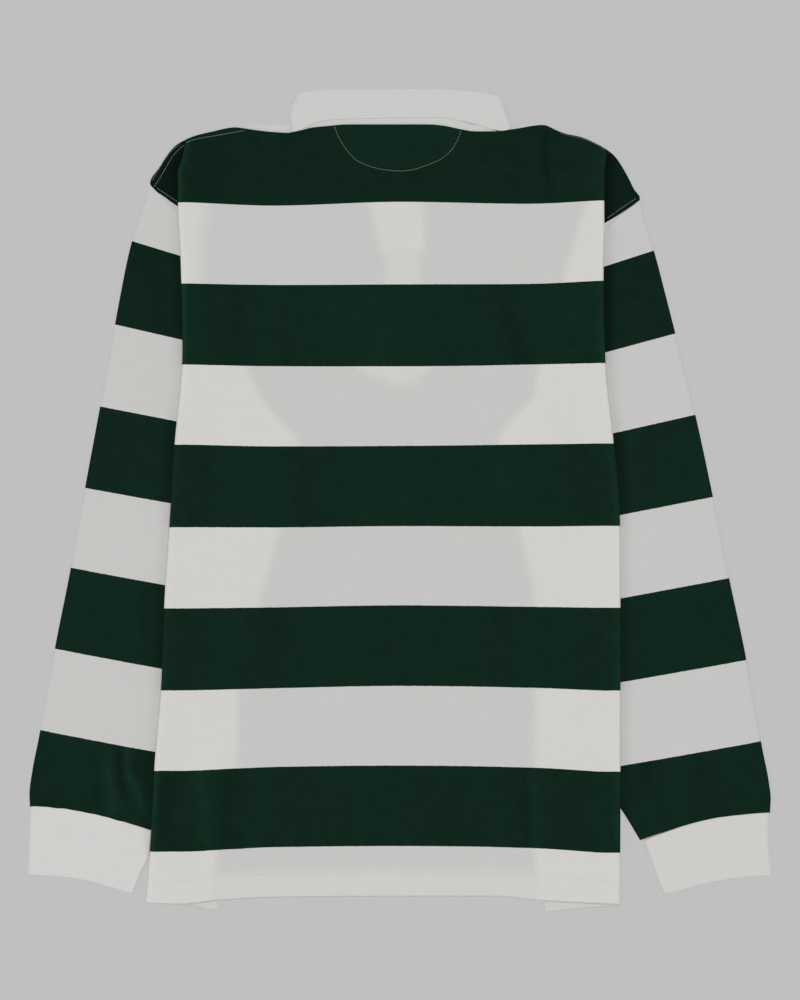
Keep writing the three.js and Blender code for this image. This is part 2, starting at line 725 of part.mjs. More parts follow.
const SLEEVE_INSIDE = [0.1, 0.22, 0.36, 0.5, 0.64, 0.78, 0.9];
const CUFF_INSIDE = [0.12, 0.3, 0.5, 0.7, 0.88];

// ---------------------------------------------------------------- collar, stand, placket, buttons

const foldY = through(COLLAR, "x", "fold");
const freeY = through(COLLAR, "x", "free");
const collarLeft = through(COLLAR_SIDES, "share", "left");
const collarRight = through(COLLAR_SIDES, "share", "right");

const STAND_LOW = COLLAR_LIFT; // front half of the stand
const STAND_MID = STAND_LOW + STAND_WALL + GAP; // back half
const STAND_TOP = STAND_MID + 1.5;
const LEAF_TOP = STAND_TOP + GAP + COLLAR_WALL;
const STAND_JOINT = { width: 10, below: 1, above: 22, overlap: 0.5 }; // joins its halves at each side

function leafOutline(leaf) {
  const { root, neck, crest, tip, edge, point, centre, fold, end } = leaf;
  return [root, neck, crest, tip, edge, point, centre, fold, end];
}

// The collar runs round the neck: back leaf above, front leaves below, folded at both sides.
function collar() {
  const inside = [0.06, 0.13, 0.22, 0.35, 0.5, 0.63, 0.75, 0.85, 0.93];
  const rings = [0, 0.08, 0.3, 0.55, 0.8, 0.93, 1].map((share) => {
    const left = collarLeft(share);
    const right = collarRight(share);
    const place = (across, inset) => {
      const x = mix(left, right, across) + inset;
      return { x, y: mix(foldY(x), freeY(x), share) };
    };
    const fall = COLLAR_FOLD.fall * (1 - smoothstep(0, COLLAR_FOLD.share, share));
    const top = () => LEAF_TOP - fall;
    return ringLoops({ place, top, floor: 0, wall: COLLAR_WALL, inside });
  });
  let body = solid(flatTube(rings));
  for (const leaf of FRONT_LEAVES) {
    const outline = leafOutline(leaf);
    if (leaf.tip[0] > 0) outline.reverse();
    body = body.add(solid(prism(outline, 0, FRONT_LEAF_WALL)));
  }
  return fromSolid(body);
}

// The stand: a strip over the back neckline and one along the front's, joined at the sides.
function collarStand() {
  const left = NECK.x - NECK.halfWidth;
  const right = NECK.x + NECK.halfWidth;
  const inside = SHOULDERS.map((row) => row.x).filter((x) => x > left + 3 && x < right - 3);
  const back = [0, 0.5, 1].map((share) =>
    [left, ...inside, right].map((x) => {
      const y = mix(foldY(x) - STAND_INSET, shoulderY(x) + 2 * GAP, share);
      return { x, y, top: STAND_TOP, bottom: STAND_MID };
    }),
  );
  const outer = neckline(0, NECK_STEPS);
  const inner = neckline(-NECK.standDepth, NECK_STEPS);
  const front = [inner, outer].map((line) =>
    line.map(([x, y]) => ({ x, y, top: STAND_LOW + STAND_WALL, bottom: STAND_LOW })),
  );
  const joint = (x) =>
    prism(
      [
        [x, NECK.y - STAND_JOINT.below],
        [x + STAND_JOINT.width, NECK.y - STAND_JOINT.below],
        [x + STAND_JOINT.width, NECK.y + STAND_JOINT.above],
        [x, NECK.y + STAND_JOINT.above],
      ],
      STAND_LOW,
      STAND_MID + STAND_JOINT.overlap,
    );
  const body = solid(slab(back))
    .add(solid(slab(front)))
    .add(solid(joint(left)))
    .add(solid(joint(right - STAND_JOINT.width)));
  return fromSolid(body);
}

const buttonHeights = Array.from({ length: BUTTONS.count }, (_, i) => BUTTONS.first - i * BUTTONS.pitch);

function disc(radius, depth) {
  return new THREE.CylinderGeometry(radius, radius, depth, BUTTON_SIDES).rotateX(Math.PI / 2);
}

// The placket lies under the front, with a shallow pocket round each button.
function placket() {
  const half = PLACKET.width / 2;
  const outline = [
    [PLACKET.x - half, PLACKET.bottom],
    [PLACKET.x + half, PLACKET.bottom],
    [PLACKET.x + half, PLACKET.top],
    [PLACKET.x - half, PLACKET.top],
  ];
  let body = solid(prism(outline, 0, PLACKET.depth));
  for (const y of buttonHeights) {
    const pocket = disc(BUTTONS.radius + BUTTONS.slack, 2 * BUTTONS.pocket).translate(PLACKET.x, y, 0);
    body = body.subtract(solid(pocket));
  }
  return fromSolid(body);
}

function button(y) {
  return disc(BUTTONS.radius, BUTTONS.depth).translate(PLACKET.x, y, BUTTONS.depth / 2);
}

// ---------------------------------------------------------------- the shirt

const JERSEY = { roughness: 0.9, metalness: 0 };
const greenCloth = new THREE.MeshStandardMaterial({ color: 0x12281e, ...JERSEY });
const whiteCloth = new THREE.MeshStandardMaterial({ color: 0xdedcd6, ...JERSEY });
const whiteRubber = new THREE.MeshStandardMaterial({ color: 0xe4e2dc, roughness: 0.55, metalness: 0 });

const shirt = new THREE.Group();

function add(name, geometry, material) {
  const mesh = new THREE.Mesh(geometry, material);
  mesh.name = name;
  shirt.add(mesh);
}

add("back", backPanel(), greenCloth);
add("front", frontPanel(), greenCloth);
add("tuck_left", tuckedSide(LEFT_TUCK, LEFT_SLEEVE), greenCloth);
add("tuck_right", tuckedSide(RIGHT_TUCK, RIGHT_SLEEVE), greenCloth);
add("sleeve_left", layFlat(LEFT_SLEEVE, CLOTH, SLEEVE_FLAT, SLEEVE_INSIDE), greenCloth);
add("sleeve_right", layFlat(RIGHT_SLEEVE, CLOTH, SLEEVE_FLAT, SLEEVE_INSIDE), greenCloth);
add("cuff_left", layFlat(LEFT_CUFF, CUFF_WALL, CUFF_FLAT, CUFF_INSIDE), whiteCloth);
add("cuff_right", layFlat(RIGHT_CUFF, CUFF_WALL, CUFF_FLAT, CUFF_INSIDE), whiteCloth);
add("collar", collar(), whiteCloth);
add("collar_stand", collarStand(), whiteCloth);
add("placket", placket(), whiteCloth);
buttonHeights.forEach((y, i) => add(`button_${i + 1}`, button(y), whiteRubber));

export default shirt;
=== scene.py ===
"""A long-sleeved polo shirt laid face down: its cloth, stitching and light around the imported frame.

Sizes are millimetres in the frame's axes until a mesh is made: X across, +Y towards the collar, +Z up.
"""

import math

import bpy
import numpy as np
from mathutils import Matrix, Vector


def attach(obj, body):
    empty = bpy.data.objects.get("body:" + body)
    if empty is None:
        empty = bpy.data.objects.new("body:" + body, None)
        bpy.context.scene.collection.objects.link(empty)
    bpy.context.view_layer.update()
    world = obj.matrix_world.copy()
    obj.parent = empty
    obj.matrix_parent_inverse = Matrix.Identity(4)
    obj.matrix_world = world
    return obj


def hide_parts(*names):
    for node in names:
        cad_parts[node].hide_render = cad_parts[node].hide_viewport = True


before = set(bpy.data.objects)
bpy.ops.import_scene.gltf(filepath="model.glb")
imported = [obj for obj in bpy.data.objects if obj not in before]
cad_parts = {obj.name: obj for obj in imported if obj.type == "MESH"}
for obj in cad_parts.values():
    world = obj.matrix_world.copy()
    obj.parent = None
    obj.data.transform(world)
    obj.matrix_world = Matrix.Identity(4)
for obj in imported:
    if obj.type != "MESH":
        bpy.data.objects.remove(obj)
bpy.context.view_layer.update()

MM = 0.001

# ---------------- driving sizes, as in the solids

CLOTH = 1.3
GAP = 0.3
CUFF_WALL = 1.9
COLLAR_WALL = 2.2
SLEEVE_FLAT = 3.1
CUFF_FLAT = 4.3
TUCK_INNER_TOP = 3.0
TUCK_INSET = 0.8
TUCK_MARGIN = 12
TUCK_FALL = 38
COLLAR_LIFT = 2.5
LIP_WIDTH = 3.2
HEM_DEPTH = 23
HEM_EXTRA = 0.9
TOP_ZONE = 250
HEM_ZONE = -330
STAND_LOW = 2.5
STAND_MID = 4.1
STAND_TOP = 5.6
LEAF_TOP = 8.1
BAND = 76  # height of one stripe


def table(names, *rows):
    """The columns of a table, by name."""
    return {n: np.array(c, float) for n, c in zip(names.split(), zip(*rows))}


# Upper and lower edges of the back, and its folded sides.
SHOULDERS = table(
    "x y",
    (-201, 339), (-193, 342), (-179, 345.5), (-155, 350), (-145, 348.7), (-123, 346),
    (-106, 345), (-93.5, 347), (-85, 349.5), (-66, 351.5), (-52, 352.7), (-32, 352.8),
    (-12, 352.8), (8, 352.8), (28, 352.7), (42, 351.3), (56, 348.3), (70, 346.2),
    (93.5, 346.4), (108, 348.7), (134, 352.3), (147, 347), (155, 344), (169, 341),
    (187, 333), (194, 329),
)
HEM = table(
    "x y",
    (-239, -378.4), (-207, -379.6), (-172, -376), (-123, -373.7),
    (0, -372.7), (93, -372.7), (136, -376.5), (206, -379.8),
)
LEFT_SIDE = table(
    "y x",
    (339, -201), (320, -205.4), (308, -209), (276, -208.8), (226, -206.3), (141, -204.5),
    (51, -212), (-23, -216.7), (-94, -221.4), (-169, -224.2), (-249, -230.8),
    (-329, -235), (-379, -239.2),
)
RIGHT_SIDE = table(
    "y x",
    (329, 194), (305, 191.3), (261, 191.3), (207, 190.4), (130, 192.2), (55, 199.8),
    (-23, 205.9), (-103, 206.3), (-380, 206.3),
)

# Layers tucked under each side: the shoulder corner that shows and its painted shade, inner edge, hem and
# height.
LEFT_TUCK = {
    "side": -1,
    "corner_shade": 0.52,
    "corner": table(
        "y x",
        (338.5, -201.5), (334.6, -209), (327, -216.7), (313, -226), (298, -235),
        (292.3, -231.2), (286, -221.8), (281.2, -215.6), (276.4, -208.4),
    ),
    "inner": table(
        "y x",
        (339, -164), (250, -158), (150, -142), (56, -97), (-28, -113),
        (-94, -130), (-178, -152), (-254, -155), (-340, -171), (-388, -171.6),
    ),
    "hem": table("x y", (-239, -378), (-209, -380), (-171.6, -387)),
    "height": table(
        "y z", (340, 4.2), (285, 4.2), (256, 6.2), (-312, 6.2), (-350, 4.4), (-388, 4.2)
    ),
    "sleeve_end": -322,
}
RIGHT_TUCK = {
    "side": 1,
    "corner_shade": 0.7,
    "corner": table(
        "y x",
        (328.6, 194.4), (323.4, 200.7), (315.8, 206.3), (302.7, 213.8), (291.4, 219.5),
        (283.4, 225), (278.2, 218.6), (269.8, 206.3), (261.3, 192),
    ),
    "inner": table(
        "y x",
        (329, 146), (250, 141), (127, 131), (56, 98), (-28, 103),
        (-94, 126), (-254, 128), (-388, 136.8),
    ),
    "hem": table("x y", (136.8, -387.8), (168.7, -384.5), (206.3, -381.6)),
    "height": table(
        "y z", (340, 4.2), (275, 4.2), (244, 6.2), (-296, 6.2), (-350, 4.4), (-388, 4.2)
    ),
    "sleeve_end": -296,
}

# Cross lines down each sleeve and cuff: outer fold, inner edge, bow towards the collar, loft.
LINE = "ox oy ix iy bow peak loft"
LEFT_SLEEVE = table(
    LINE,
    (-235.6, 296.7, -184, 250, -1.5, 0.3, 0.2),
    (-246, 265, -183, 240, -0.8, 0.3, 0.9),
    (-255, 235, -182, 218, 0, 0.5, 1.2),
    (-264.6, 188, -181, 171, 0, 0.5, 1.3),
    (-274, 136, -181, 118, 0, 0.5, 1.3),
    (-283.4, 84.6, -183, 66, 0, 0.5, 1.4),
    (-295.6, 18.8, -189, -3, 0, 0.5, 1.5),
    (-303.2, -23.5, -192, -46, 0, 0.5, 1.5),
    (-310.7, -65.8, -195, -88, 0, 0.5, 1.6),
    (-323.8, -131.6, -198, -158, 0, 0.5, 1.8),
    (-332.4, -178.6, -201, -206, 0, 0.5, 2),
    (-340.8, -225.6, -206, -252, 0, 0.5, 2.4),
    (-346.4, -253.8, -215, -280.6, 1.6, 0.42, 2.6),
    (-349.3, -277.3, -226, -300.2, 4, 0.43, 2.4),
    (-348.8, -288.2, -232.6, -311.2, 5.2, 0.45, 1.6),
)
RIGHT_SLEEVE = table(
    LINE,
    (225.6, 282.4, 167, 236, -0.5, 0.3, 0.2),
    (232.7, 254.7, 167, 228, 0, 0.5, 0.9),
    (241.1, 225.6, 166, 205, 0, 0.5, 1.2),
    (249.6, 192.7, 166, 171, 0, 0.5, 1.3),
    (258, 159.8, 167, 137, 0, 0.5, 1.3),
    (268.4, 117.5, 169, 94, 0, 0.5, 1.4),
    (278.7, 75.2, 173, 51, 0, 0.5, 1.4),
    (292.8, 9.4, 181, -15, 0, 0.5, 1.5),
    (301.3, -32.9, 182, -58, 0, 0.5, 1.6),
    (309.7, -75.2, 182, -101, 0, 0.5, 1.7),
    (323.8, -141, 183, -170, 0, 0.5, 1.8),
    (332.3, -188, 185, -217, 0, 0.5, 2),
    (340.8, -235, 189, -262, 0.5, 0.5, 2.4),
    (346.4, -263.2, 200, -279.5, 2, 0.5, 2.6),
    (348.5, -281, 214, -301, 4.5, 0.5, 2.4),
    (347.9, -294, 225.2, -319.8, 6.4, 0.5, 1.6),
)
LEFT_CUFF = table(
    LINE,
    (-347.9, -288.9, -232.7, -312, 5.2, 0.45, 0.6),
    (-348.6, -300, -234.3, -321.2, 5, 0.46, 0.9),
    (-349.4, -318, -236.4, -335.5, 4.8, 0.48, 0.9),
    (-350.1, -336, -243.5, -349, 4.6, 0.5, 0.7),
    (-350.6, -352, -251.9, -370.1, 4.8, 0.5, 0.4),
)
RIGHT_CUFF = table(
    LINE,
    (347.3, -294.7, 228.8, -320.8, 6.4, 0.5, 0.6),
    (346.6, -306, 232, -329, 6, 0.5, 0.9),
    (346.8, -322, 236.4, -340.3, 5.4, 0.5, 0.9),
    (348, -338, 241, -354.4, 4.8, 0.48, 0.7),
    (349.7, -353.1, 247.7, -370.7, 4.3, 0.45, 0.4),
)

# The collar's back leaf: fold at its top, free edge over the stand, and its sides.
COLLAR = table(
    "x fold free",
    (-105, 379.5, 345.7), (-99, 380.7, 346.5), (-93.5, 383.5, 347.8), (-88, 384.8, 351),
    (-78, 386.3, 355.2), (-52, 387, 358), (-12, 387.3, 359), (35, 387.3, 359.7),
    (63.5, 385.4, 354.9), (79, 383.5, 350.6), (88, 381.8, 348.2), (94.5, 380.2, 347.1),
    (105, 378.6, 348.8),
)
COLLAR_SIDES = table(
    "share left right",
    (0, -99.2, 94.5), (0.15, -101.3, 97), (0.35, -103.7, 99.3), (0.55, -105, 101.3),
    (0.75, -103.9, 103.5), (0.9, -103.2, 104.4), (1, -103, 104.5),
)
FRONT_LEAVES = (
    (
        (-97, 362), (-102, 353.4), (-136, 353.1), (-148.5, 351.9), (-150, 347),
        (-66, 240), (-25, 293), (-72, 326), (-97, 344),
    ),
    (
        (92, 362), (97, 351.5), (118, 352.9), (124, 352.5), (126, 348),
        (62, 240), (21, 293), (68, 326), (92, 344),
    ),
)
NECK = {"x": -2.5, "y": 352, "half_width": 90.5, "depth": 61, "stand_depth": 27}
PLACKET = {
    "x": -2, "bottom": 111, "depth": 1.7,
    "lift_half": 30, "fall_half": 62,  # the front lies on it up to here, and is down again there
    "rise_from": 50, "rise_to": 18,  # the front rises to it between these distances below it
}

# Height of each stripe's upper edge on the body, at five stations across it.
BAND_STATIONS = (-198, -120, 0, 120, 188)
BODY_BANDS = table(
    "left inner_left middle inner_right right",
    (279.5, 276.6, 280.2, 278.3, 281.3),
    (203.2, 202.2, 202.7, 203.1, 205.8),
    (127.1, 125.7, 125.6, 127.2, 128.5),
    (52.0, 50.4, 50.9, 52.2, 53.1),
    (-25.6, -25.8, -24.6, -24.9, -24.3),
    (-101.7, -100.9, -99.1, -100.3, -101.1),
    (-178.8, -177.1, -174.9, -176.4, -178.9),
    (-254.2, -251, -249.8, -251.3, -254.9),
    (-330.2, -326.6, -325.5, -327, -331.2),
)
# The same edges on the sleeves, from the outer fold to the body.
LEFT_BANDS = table(
    "ox oy ix iy",
    (-252.4, 243.6, -206.3, 229.4),
    (-267.4, 164.8, -204.5, 150.4),
    (-282.5, 88, -212.9, 74.5),
    (-295.6, 11.1, -215.7, -3.3),
    (-310.7, -63.6, -220.4, -80.3),
    (-325.7, -139.8, -223.3, -159.1),
    (-339.8, -216.2, -230.8, -237),
)
RIGHT_BANDS = table(
    "ox oy ix iy",
    (241.1, 235.6, 191.3, 219.5),
    (259.9, 156.9, 193.2, 138.9),
    (277.8, 80.3, 199.8, 62.7),
    (293.8, 2.8, 206.3, -14.3),
    (310.7, -73.2, 206.3, -92.7),
    (325.7, -150.5, 206.3, -171.7),
    (339.8, -226.8, 206.3, -250.3),
)

# Where the white cloth looks brighter, because tucked layers lie right under it.
BACKING_LEFT = table(
    "y x",
    (290, -183), (203, -188), (150, -156), (122, -143), (94, -129), (75, -114), (53, -96),
    (0, -104), (-28, -114), (-94, -132), (-160, -153), (-254, -153), (-340, -174),
)
BACKING_RIGHT = table(
    "y x",
    (290, 177), (276, 173), (207, 153), (150, 138), (122, 129.5), (97, 124.5), (80, 108),
    (54, 92), (0, 101), (-28, 112), (-60, 119.5), (-94, 126), (-254, 126.4), (-340, 126.4),
)

# Soft ridges (+) and troughs (-) in the body, between two points.
BODY_CREASES = table(
    "x1 y1 x2 y2 width height",
    (136, 368, 140, 274, 4, -0.75),
    (-186, 352, -180, 268, 15, -0.35),
    (182, 338, 184, 262, 8, 0.25),
    (-153, 234, -149, 102, 11, -0.36),
    (-177, 222, -175, 118, 9, -0.22),
    (-24, 230, -18, 98, 25, 0.25),
    (88, 222, 119, 106, 9, -0.34),
    (136, 226, 139, 100, 9, 0.16),
    (-193, 80, -189, -52, 12, -0.22),
    (-90, 74, -84, -50, 11, -0.2),
    (-10, 80, -6, -52, 27, 0.12),
    (97, 76, 93, -48, 12, 0.2),
    (171, 78, 174, -54, 13, -0.16),
    (-200, -70, -196, -204, 12, -0.22),
    (-154, -76, -157, -198, 5, 0.22),
    (-124, -70, -130, -202, 14, -0.2),
    (-55, -72, -49, -206, 26, 0.14),
    (99, -74, 96, -200, 11, -0.14),
    (122, -78, 123, -196, 7, 0.13),
    (178, -70, 174, -204, 14, -0.15),
    (-216, -224, -219, -352, 9, -0.42),
    (-183, -226, -185, -350, 9.5, 0.72),
    (-160, -222, -163, -354, 9, -0.38),
    (-130, -228, -132, -346, 8, 0.28),
    (117.5, -226, 118.5, -350, 4, -0.45),
    (126, -224, 127, -352, 6, 0.5),
    (166, -222, 162, -350, 14, -0.15),
)
SLEEVE_CREASES = table(
    "x1 y1 x2 y2 width height",
    (-260, -218, -252, -280, 3, 1.4),
    (-254.5, -258, -235, -304, 3.4, 1.2),
    (-266, -220, -260, -292, 5, -0.95),
    (-305, -250, -294, -268, 5, 0.3),
    (-247, -226, -241, -268, 6.5, -0.45),
    (-276, -226, -271, -308, 6.5, 0.9),
    (-286, -232, -283, -300, 5, -0.4),
    (-309, -226, -312, -292, 9, 0.3),
    (-268, -92, -244, -148, 9, 0.24),
    (-240, -66, -236, -160, 7, -0.2),
    (-284, 28, -270, -60, 11, -0.2),
    (-232, 250, -226, 140, 8, -0.22),
    (262, -212, 258, -306, 7, 0.25),
    (288, -226, 284, -312, 9, -0.22),
    (222, -226, 236, -286, 7, -0.45),
    (252, -62, 246, -176, 10, 0.2),
    (236, 92, 232, 0, 8, -0.2),
)

# ---------------- curves and steps


def mix(a, b, t):
    return a + (b - a) * t


def smoothstep(low, high, v):
    t = np.clip((v - low) / (high - low), 0, 1)
    return t * t * (3 - 2 * t)


def fade(v, start, end, a, b):
    """A value that goes smoothly from a to b while v goes from start to end."""
    return mix(a, b, smoothstep(start, end, v))


def hump(distance, width):
    """A soft bump of height 1, by the distance from its middle."""
    return np.exp(-((distance / width) ** 2))


def oval(place, x, y):
    """1 inside an oval and 0 outside it, with a soft edge."""
    reach = np.hypot((x - place["x"]) / place["half_width"], (y - place["y"]) / place["half_height"])
    return smoothstep(1 + place["soft"], 1 - place["soft"], reach)


def distances(points):
    """How far along a line each of its points is."""
    return np.concatenate([[0], np.cumsum(np.hypot(*np.diff(points, axis=0).T))])


def through(rows, at, value):
    """A smooth curve through a table's rows that never overshoots them, level past both ends."""
    order = np.argsort(rows[at])
    xs, ys = rows[at][order], rows[value][order]
    steps = np.diff(ys) / np.diff(xs)
    before, after = steps[:-1], steps[1:]
    turn = before * after <= 0
    inner = np.where(turn, 0, 2 * before * after / np.where(turn, 1, before + after))
    slopes = np.concatenate([steps[:1], inner, steps[-1:]])

    def curve(x):
        x = np.clip(x, xs[0], xs[-1])
        i = np.clip(np.searchsorted(xs, x, side="right") - 1, 0, len(xs) - 2)
        h = xs[i + 1] - xs[i]
        t = (x - xs[i]) / h
        low = ys[i] * (1 + 2 * t) * (1 - t) ** 2 + slopes[i] * h * t * (1 - t) ** 2
        high = ys[i + 1] * t * t * (3 - 2 * t) - slopes[i + 1] * h * t * t * (1 - t)
        return low + high

    return curve


def rounded(distance, width):
    """Share of the full height at a distance in from a rounded edge."""
    t = np.clip(distance / width, 0, 1)
    return np.sqrt(1 - (1 - t) ** 2)


def edge_steps(width, count):
    """Distances in from a rounded edge, closest together at the edge."""
    return width * (1 - np.cos(np.linspace(0, math.pi / 2, count)))


shoulder_y = through(SHOULDERS, "x", "y")
hem_y = through(HEM, "x", "y")
left_x = through(LEFT_SIDE, "y", "x")
right_x = through(RIGHT_SIDE, "y", "x")
body_x = {-1: left_x, 1: right_x}
fold_y = through(COLLAR, "x", "fold")
free_y = through(COLLAR, "x", "free")
collar_left = through(COLLAR_SIDES, "share", "left")
collar_right = through(COLLAR_SIDES, "share", "right")
backing_left = through(BACKING_LEFT, "y", "x")
backing_right = through(BACKING_RIGHT, "y", "x")
for tuck in (LEFT_TUCK, RIGHT_TUCK):
    tuck["body_x"] = body_x[tuck["side"]]
    tuck["inner_x"] = through(tuck["inner"], "y", "x")
    tuck["hem_y"] = through(tuck["hem"], "x", "y")
    tuck["edge_z"] = through(tuck["height"], "y", "z")
    tuck["corner_x"] = through(tuck["corner"], "y", "x")

# ---------------- heights of the layers

CREASE_STRAY = 0.35  # how far a crease strays to each side, as a share of its width
CREASE_BEND = 7.3  # how often it goes from side to side, in radians along its length
CREASE_FADE = 0.3  # share of its length over which it starts, and over which it ends
COLLAR_RISE = (180, 226)  # the front rises onto the collar's front leaves between these heights
LAYER_BLEND = 6  # how sharply one layer gives way to a higher one
HEM_FADE = (7, -4)  # the hem's second layer starts between these distances above its seam
EDGE_CALM = 10  # relief fades out over this width beside the folded sides
BODY_LOFT = 0.3  # the back stands this far above its solid
UNEVENNESS = 0.22
PUCKER_HEIGHT, PUCKER_REACH = 0.14, 6  # along the hem's seam


def creases(rows, x, y):
    """Sum of the soft ridges and troughs of a table."""
    total = np.zeros(np.broadcast(x, y).shape)
    for x1, y1, x2, y2, width, height in zip(*rows.values()):
        dx, dy = x2 - x1, y2 - y1
        length = math.hypot(dx, dy)
        along = ((x - x1) * dx + (y - y1) * dy) / length**2
        across = ((x - x1) * dy - (y - y1) * dx) / length
        stray = CREASE_STRAY * width * np.sin(CREASE_BEND * along + x1)
        ends = smoothstep(0, CREASE_FADE, along) * (1 - smoothstep(1 - CREASE_FADE, 1, along))
        total += height * ends * hump(across - stray, width)
    return total


def ripple(x, y, seed):
    """A slow unevenness of the cloth, from -1 to 1. Its waves' lengths are unlike, so it never repeats."""
    a = np.sin(x / 31 + 1.7 * np.sin(y / 83 + seed) + seed)
    b = np.sin(y / 47 + 1.3 * np.sin(x / 59 - seed) + 2.1 * seed)
    c = np.sin((x + 0.6 * y) / 23 + seed * 1.3)
    return (a + b + 0.5 * c) / 2.5


def tuck_top(tuck, x, y):
    body, inner = tuck["body_x"](y), tuck["inner_x"](y)
    share = np.clip((x - body) / (inner - body), 0, 1)
    return mix(tuck["edge_z"](y), TUCK_INNER_TOP, share)


def tuck_lift(tuck, x, y):
    past = (tuck["inner_x"](y) - x) * tuck["side"] - TUCK_MARGIN
    return (tuck_top(tuck, x, y) + GAP) * (1 - smoothstep(0, TUCK_FALL, past))


def placket_lift(x, y):
    across = 1 - smoothstep(PLACKET["lift_half"], PLACKET["fall_half"], abs(x - PLACKET["x"]))
    below = PLACKET["bottom"] - y
    along = smoothstep(PLACKET["rise_from"], PLACKET["rise_to"], below)
    return (PLACKET["depth"] + GAP) * across * along


def front_under(x, y):
    """Underside of the front over what lies below it, rounded where two layers cross."""
    lifts = (
        tuck_lift(LEFT_TUCK, x, y),
        tuck_lift(RIGHT_TUCK, x, y),
        placket_lift(x, y),
        COLLAR_LIFT * smoothstep(*COLLAR_RISE, y),
    )
    return sum(np.maximum(lift, 0) ** LAYER_BLEND for lift in lifts) ** (1 / LAYER_BLEND)


def back_under(x, y):
    return front_under(x, y) + CLOTH + GAP


def in_hem(x, y):
    seam = hem_y(x) + HEM_DEPTH
    return smoothstep(seam + HEM_FADE[0], seam + HEM_FADE[1], y)


def body_relief(x, y):
    """What the cloth of the back stands above its solid: creases, unevenness and puckers."""
    calm = smoothstep(0, EDGE_CALM, x - left_x(y)) * smoothstep(0, EDGE_CALM, right_x(y) - x)
    waves = np.sin(x / 1.9 + 2 * np.sin(x / 13))
    puckers = PUCKER_HEIGHT * waves * hump(y - hem_y(x) - HEM_DEPTH, PUCKER_REACH)
    return (BODY_LOFT + creases(BODY_CREASES, x, y) + UNEVENNESS * ripple(x, y, 1.0) + puckers) * calm


def back_top(x, y):
    return back_under(x, y) + CLOTH + HEM_EXTRA * in_hem(x, y) + body_relief(x, y)


# ---------------- brightness of the green cloth: painted shade and highlights, and random unevenness

# Fades are (from height, to height, value before, value after). 1 is the plain colour.
TONE_SHOULDER = (180, 300, 1.03, 0.93)
TONE_HEM = (-180, -260, 1, 0.965)
# Painted crease shade: how much a crease's height darkens or lightens the green.
CREASE_SHADE_GAIN = 0.4
TONE_UNEVENNESS = 0.04
CREASE_SHADE_RANGE = (0.55, 1.7)
# Painted highlights along the back's left and right folded edges; the left one grows towards the shoulder and
# the hem.
LEFT_GLEAM = {"least": 0.25, "inset": 1.5, "width": 2.4}
LEFT_GLEAM_SHOULDER = (60, 140, 0, 0.5)
LEFT_GLEAM_HEM = (-170, -250, 0, 0.35)
RIGHT_GLEAM = {"gain": 0.35, "inset": 1, "width": 4.5}
# A painted highlight inside the half-moon of stitching.
MOON = {"x": -2.5, "y": 353, "half_width": 58, "half_height": 44, "soft": 0.03}
MOON_GAIN = 0.12
SLEEVE_UPPER_TONE = {-1: (-60, 150, 1, 0.9), 1: (40, 180, 1, 0.9)}
# Painted shadow of the body's edge on each sleeve, as (from height, to height, value before, value after).
SLEEVE_BODY_SHADOW = {-1: (-60, 130, 0.18, 0.18), 1: (-60, 130, 0.12, 0.45)}
SLEEVE_BODY_SHADOW_REACH = (13, 6)  # a sleeve gets darker between these distances from the body


def painted_crease_shade(rows, x, y):
    """Painted shade in the creases' troughs and painted highlight on their ridges, with a random unevenness
    of tone; darker towards the shoulders and a little towards the hem.
    """
    uneven = TONE_UNEVENNESS * ripple(x * 1.7, y * 1.3, 4.0)
    tone = 1 + CREASE_SHADE_GAIN * creases(rows, x, y) + uneven
    return np.clip(tone, *CREASE_SHADE_RANGE) * (fade(y, *TONE_SHOULDER) * fade(y, *TONE_HEM))


def body_shade(x, y):
    """Painted highlights along the folded edges and inside the half-moon, where the cloth is doubled, over
    the painted crease shade.
    """
    left = LEFT_GLEAM["least"] + fade(y, *LEFT_GLEAM_SHOULDER) + fade(y, *LEFT_GLEAM_HEM)
    left = left * hump(x - left_x(y) - LEFT_GLEAM["inset"], LEFT_GLEAM["width"])
    right = RIGHT_GLEAM["gain"] * hump(right_x(y) - x - RIGHT_GLEAM["inset"], RIGHT_GLEAM["width"])
    return painted_crease_shade(BODY_CREASES, x, y) + left + right + MOON_GAIN * oval(MOON, x, y)


def sleeve_shade(side, x, y):
    """Painted shade of a sleeve: its crease shade, darker towards its top, and a painted shadow beside and
    under the body's edge, most of all near the right shoulder.
    """
    past = (x - body_x[side](y)) * side
    dark = fade(y, *SLEEVE_BODY_SHADOW[side]) * smoothstep(*SLEEVE_BODY_SHADOW_REACH, past)
    return painted_crease_shade(SLEEVE_CREASES, x, y) * fade(y, *SLEEVE_UPPER_TONE[side]) * (1 - dark)


# ---------------- stripes


def band_between(edges, y):
    """Stripe number at a height, from the heights of the stripes' edges, each of the same shape."""
    total = np.where(y >= edges[0], (edges[0] - y) / BAND, 0.0)
    for upper, lower in zip(edges[:-1], edges[1:]):
        total = np.where(y < upper, total + np.clip((upper - y) / (upper - lower), 0, 1), total)
    return np.where(y < edges[-1], total + (edges[-1] - y) / BAND, total)


def body_band(x, y):
    stations = np.array(BAND_STATIONS, float)
    edges = [through({"x": stations, "y": np.array(row)}, "x", "y")(x) for row in zip(*BODY_BANDS.values())]
    return band_between(edges, y)


def sleeve_band(bands):
    """Stripe number on a sleeve. Its first green stripe starts where the body's second one does."""

    def band(x, y):
        edges = [oy + (iy - oy) / (ix - ox) * (x - ox) for ox, oy, ix, iy in zip(*bands.values())]
        return band_between(edges, y) + 1

    return band


BACKING_SOFT_LEFT = (150, 230, 5.5, 11)  # a fade
BACKING_SOFT_RIGHT = 5
BACKING_HEM = 0.7
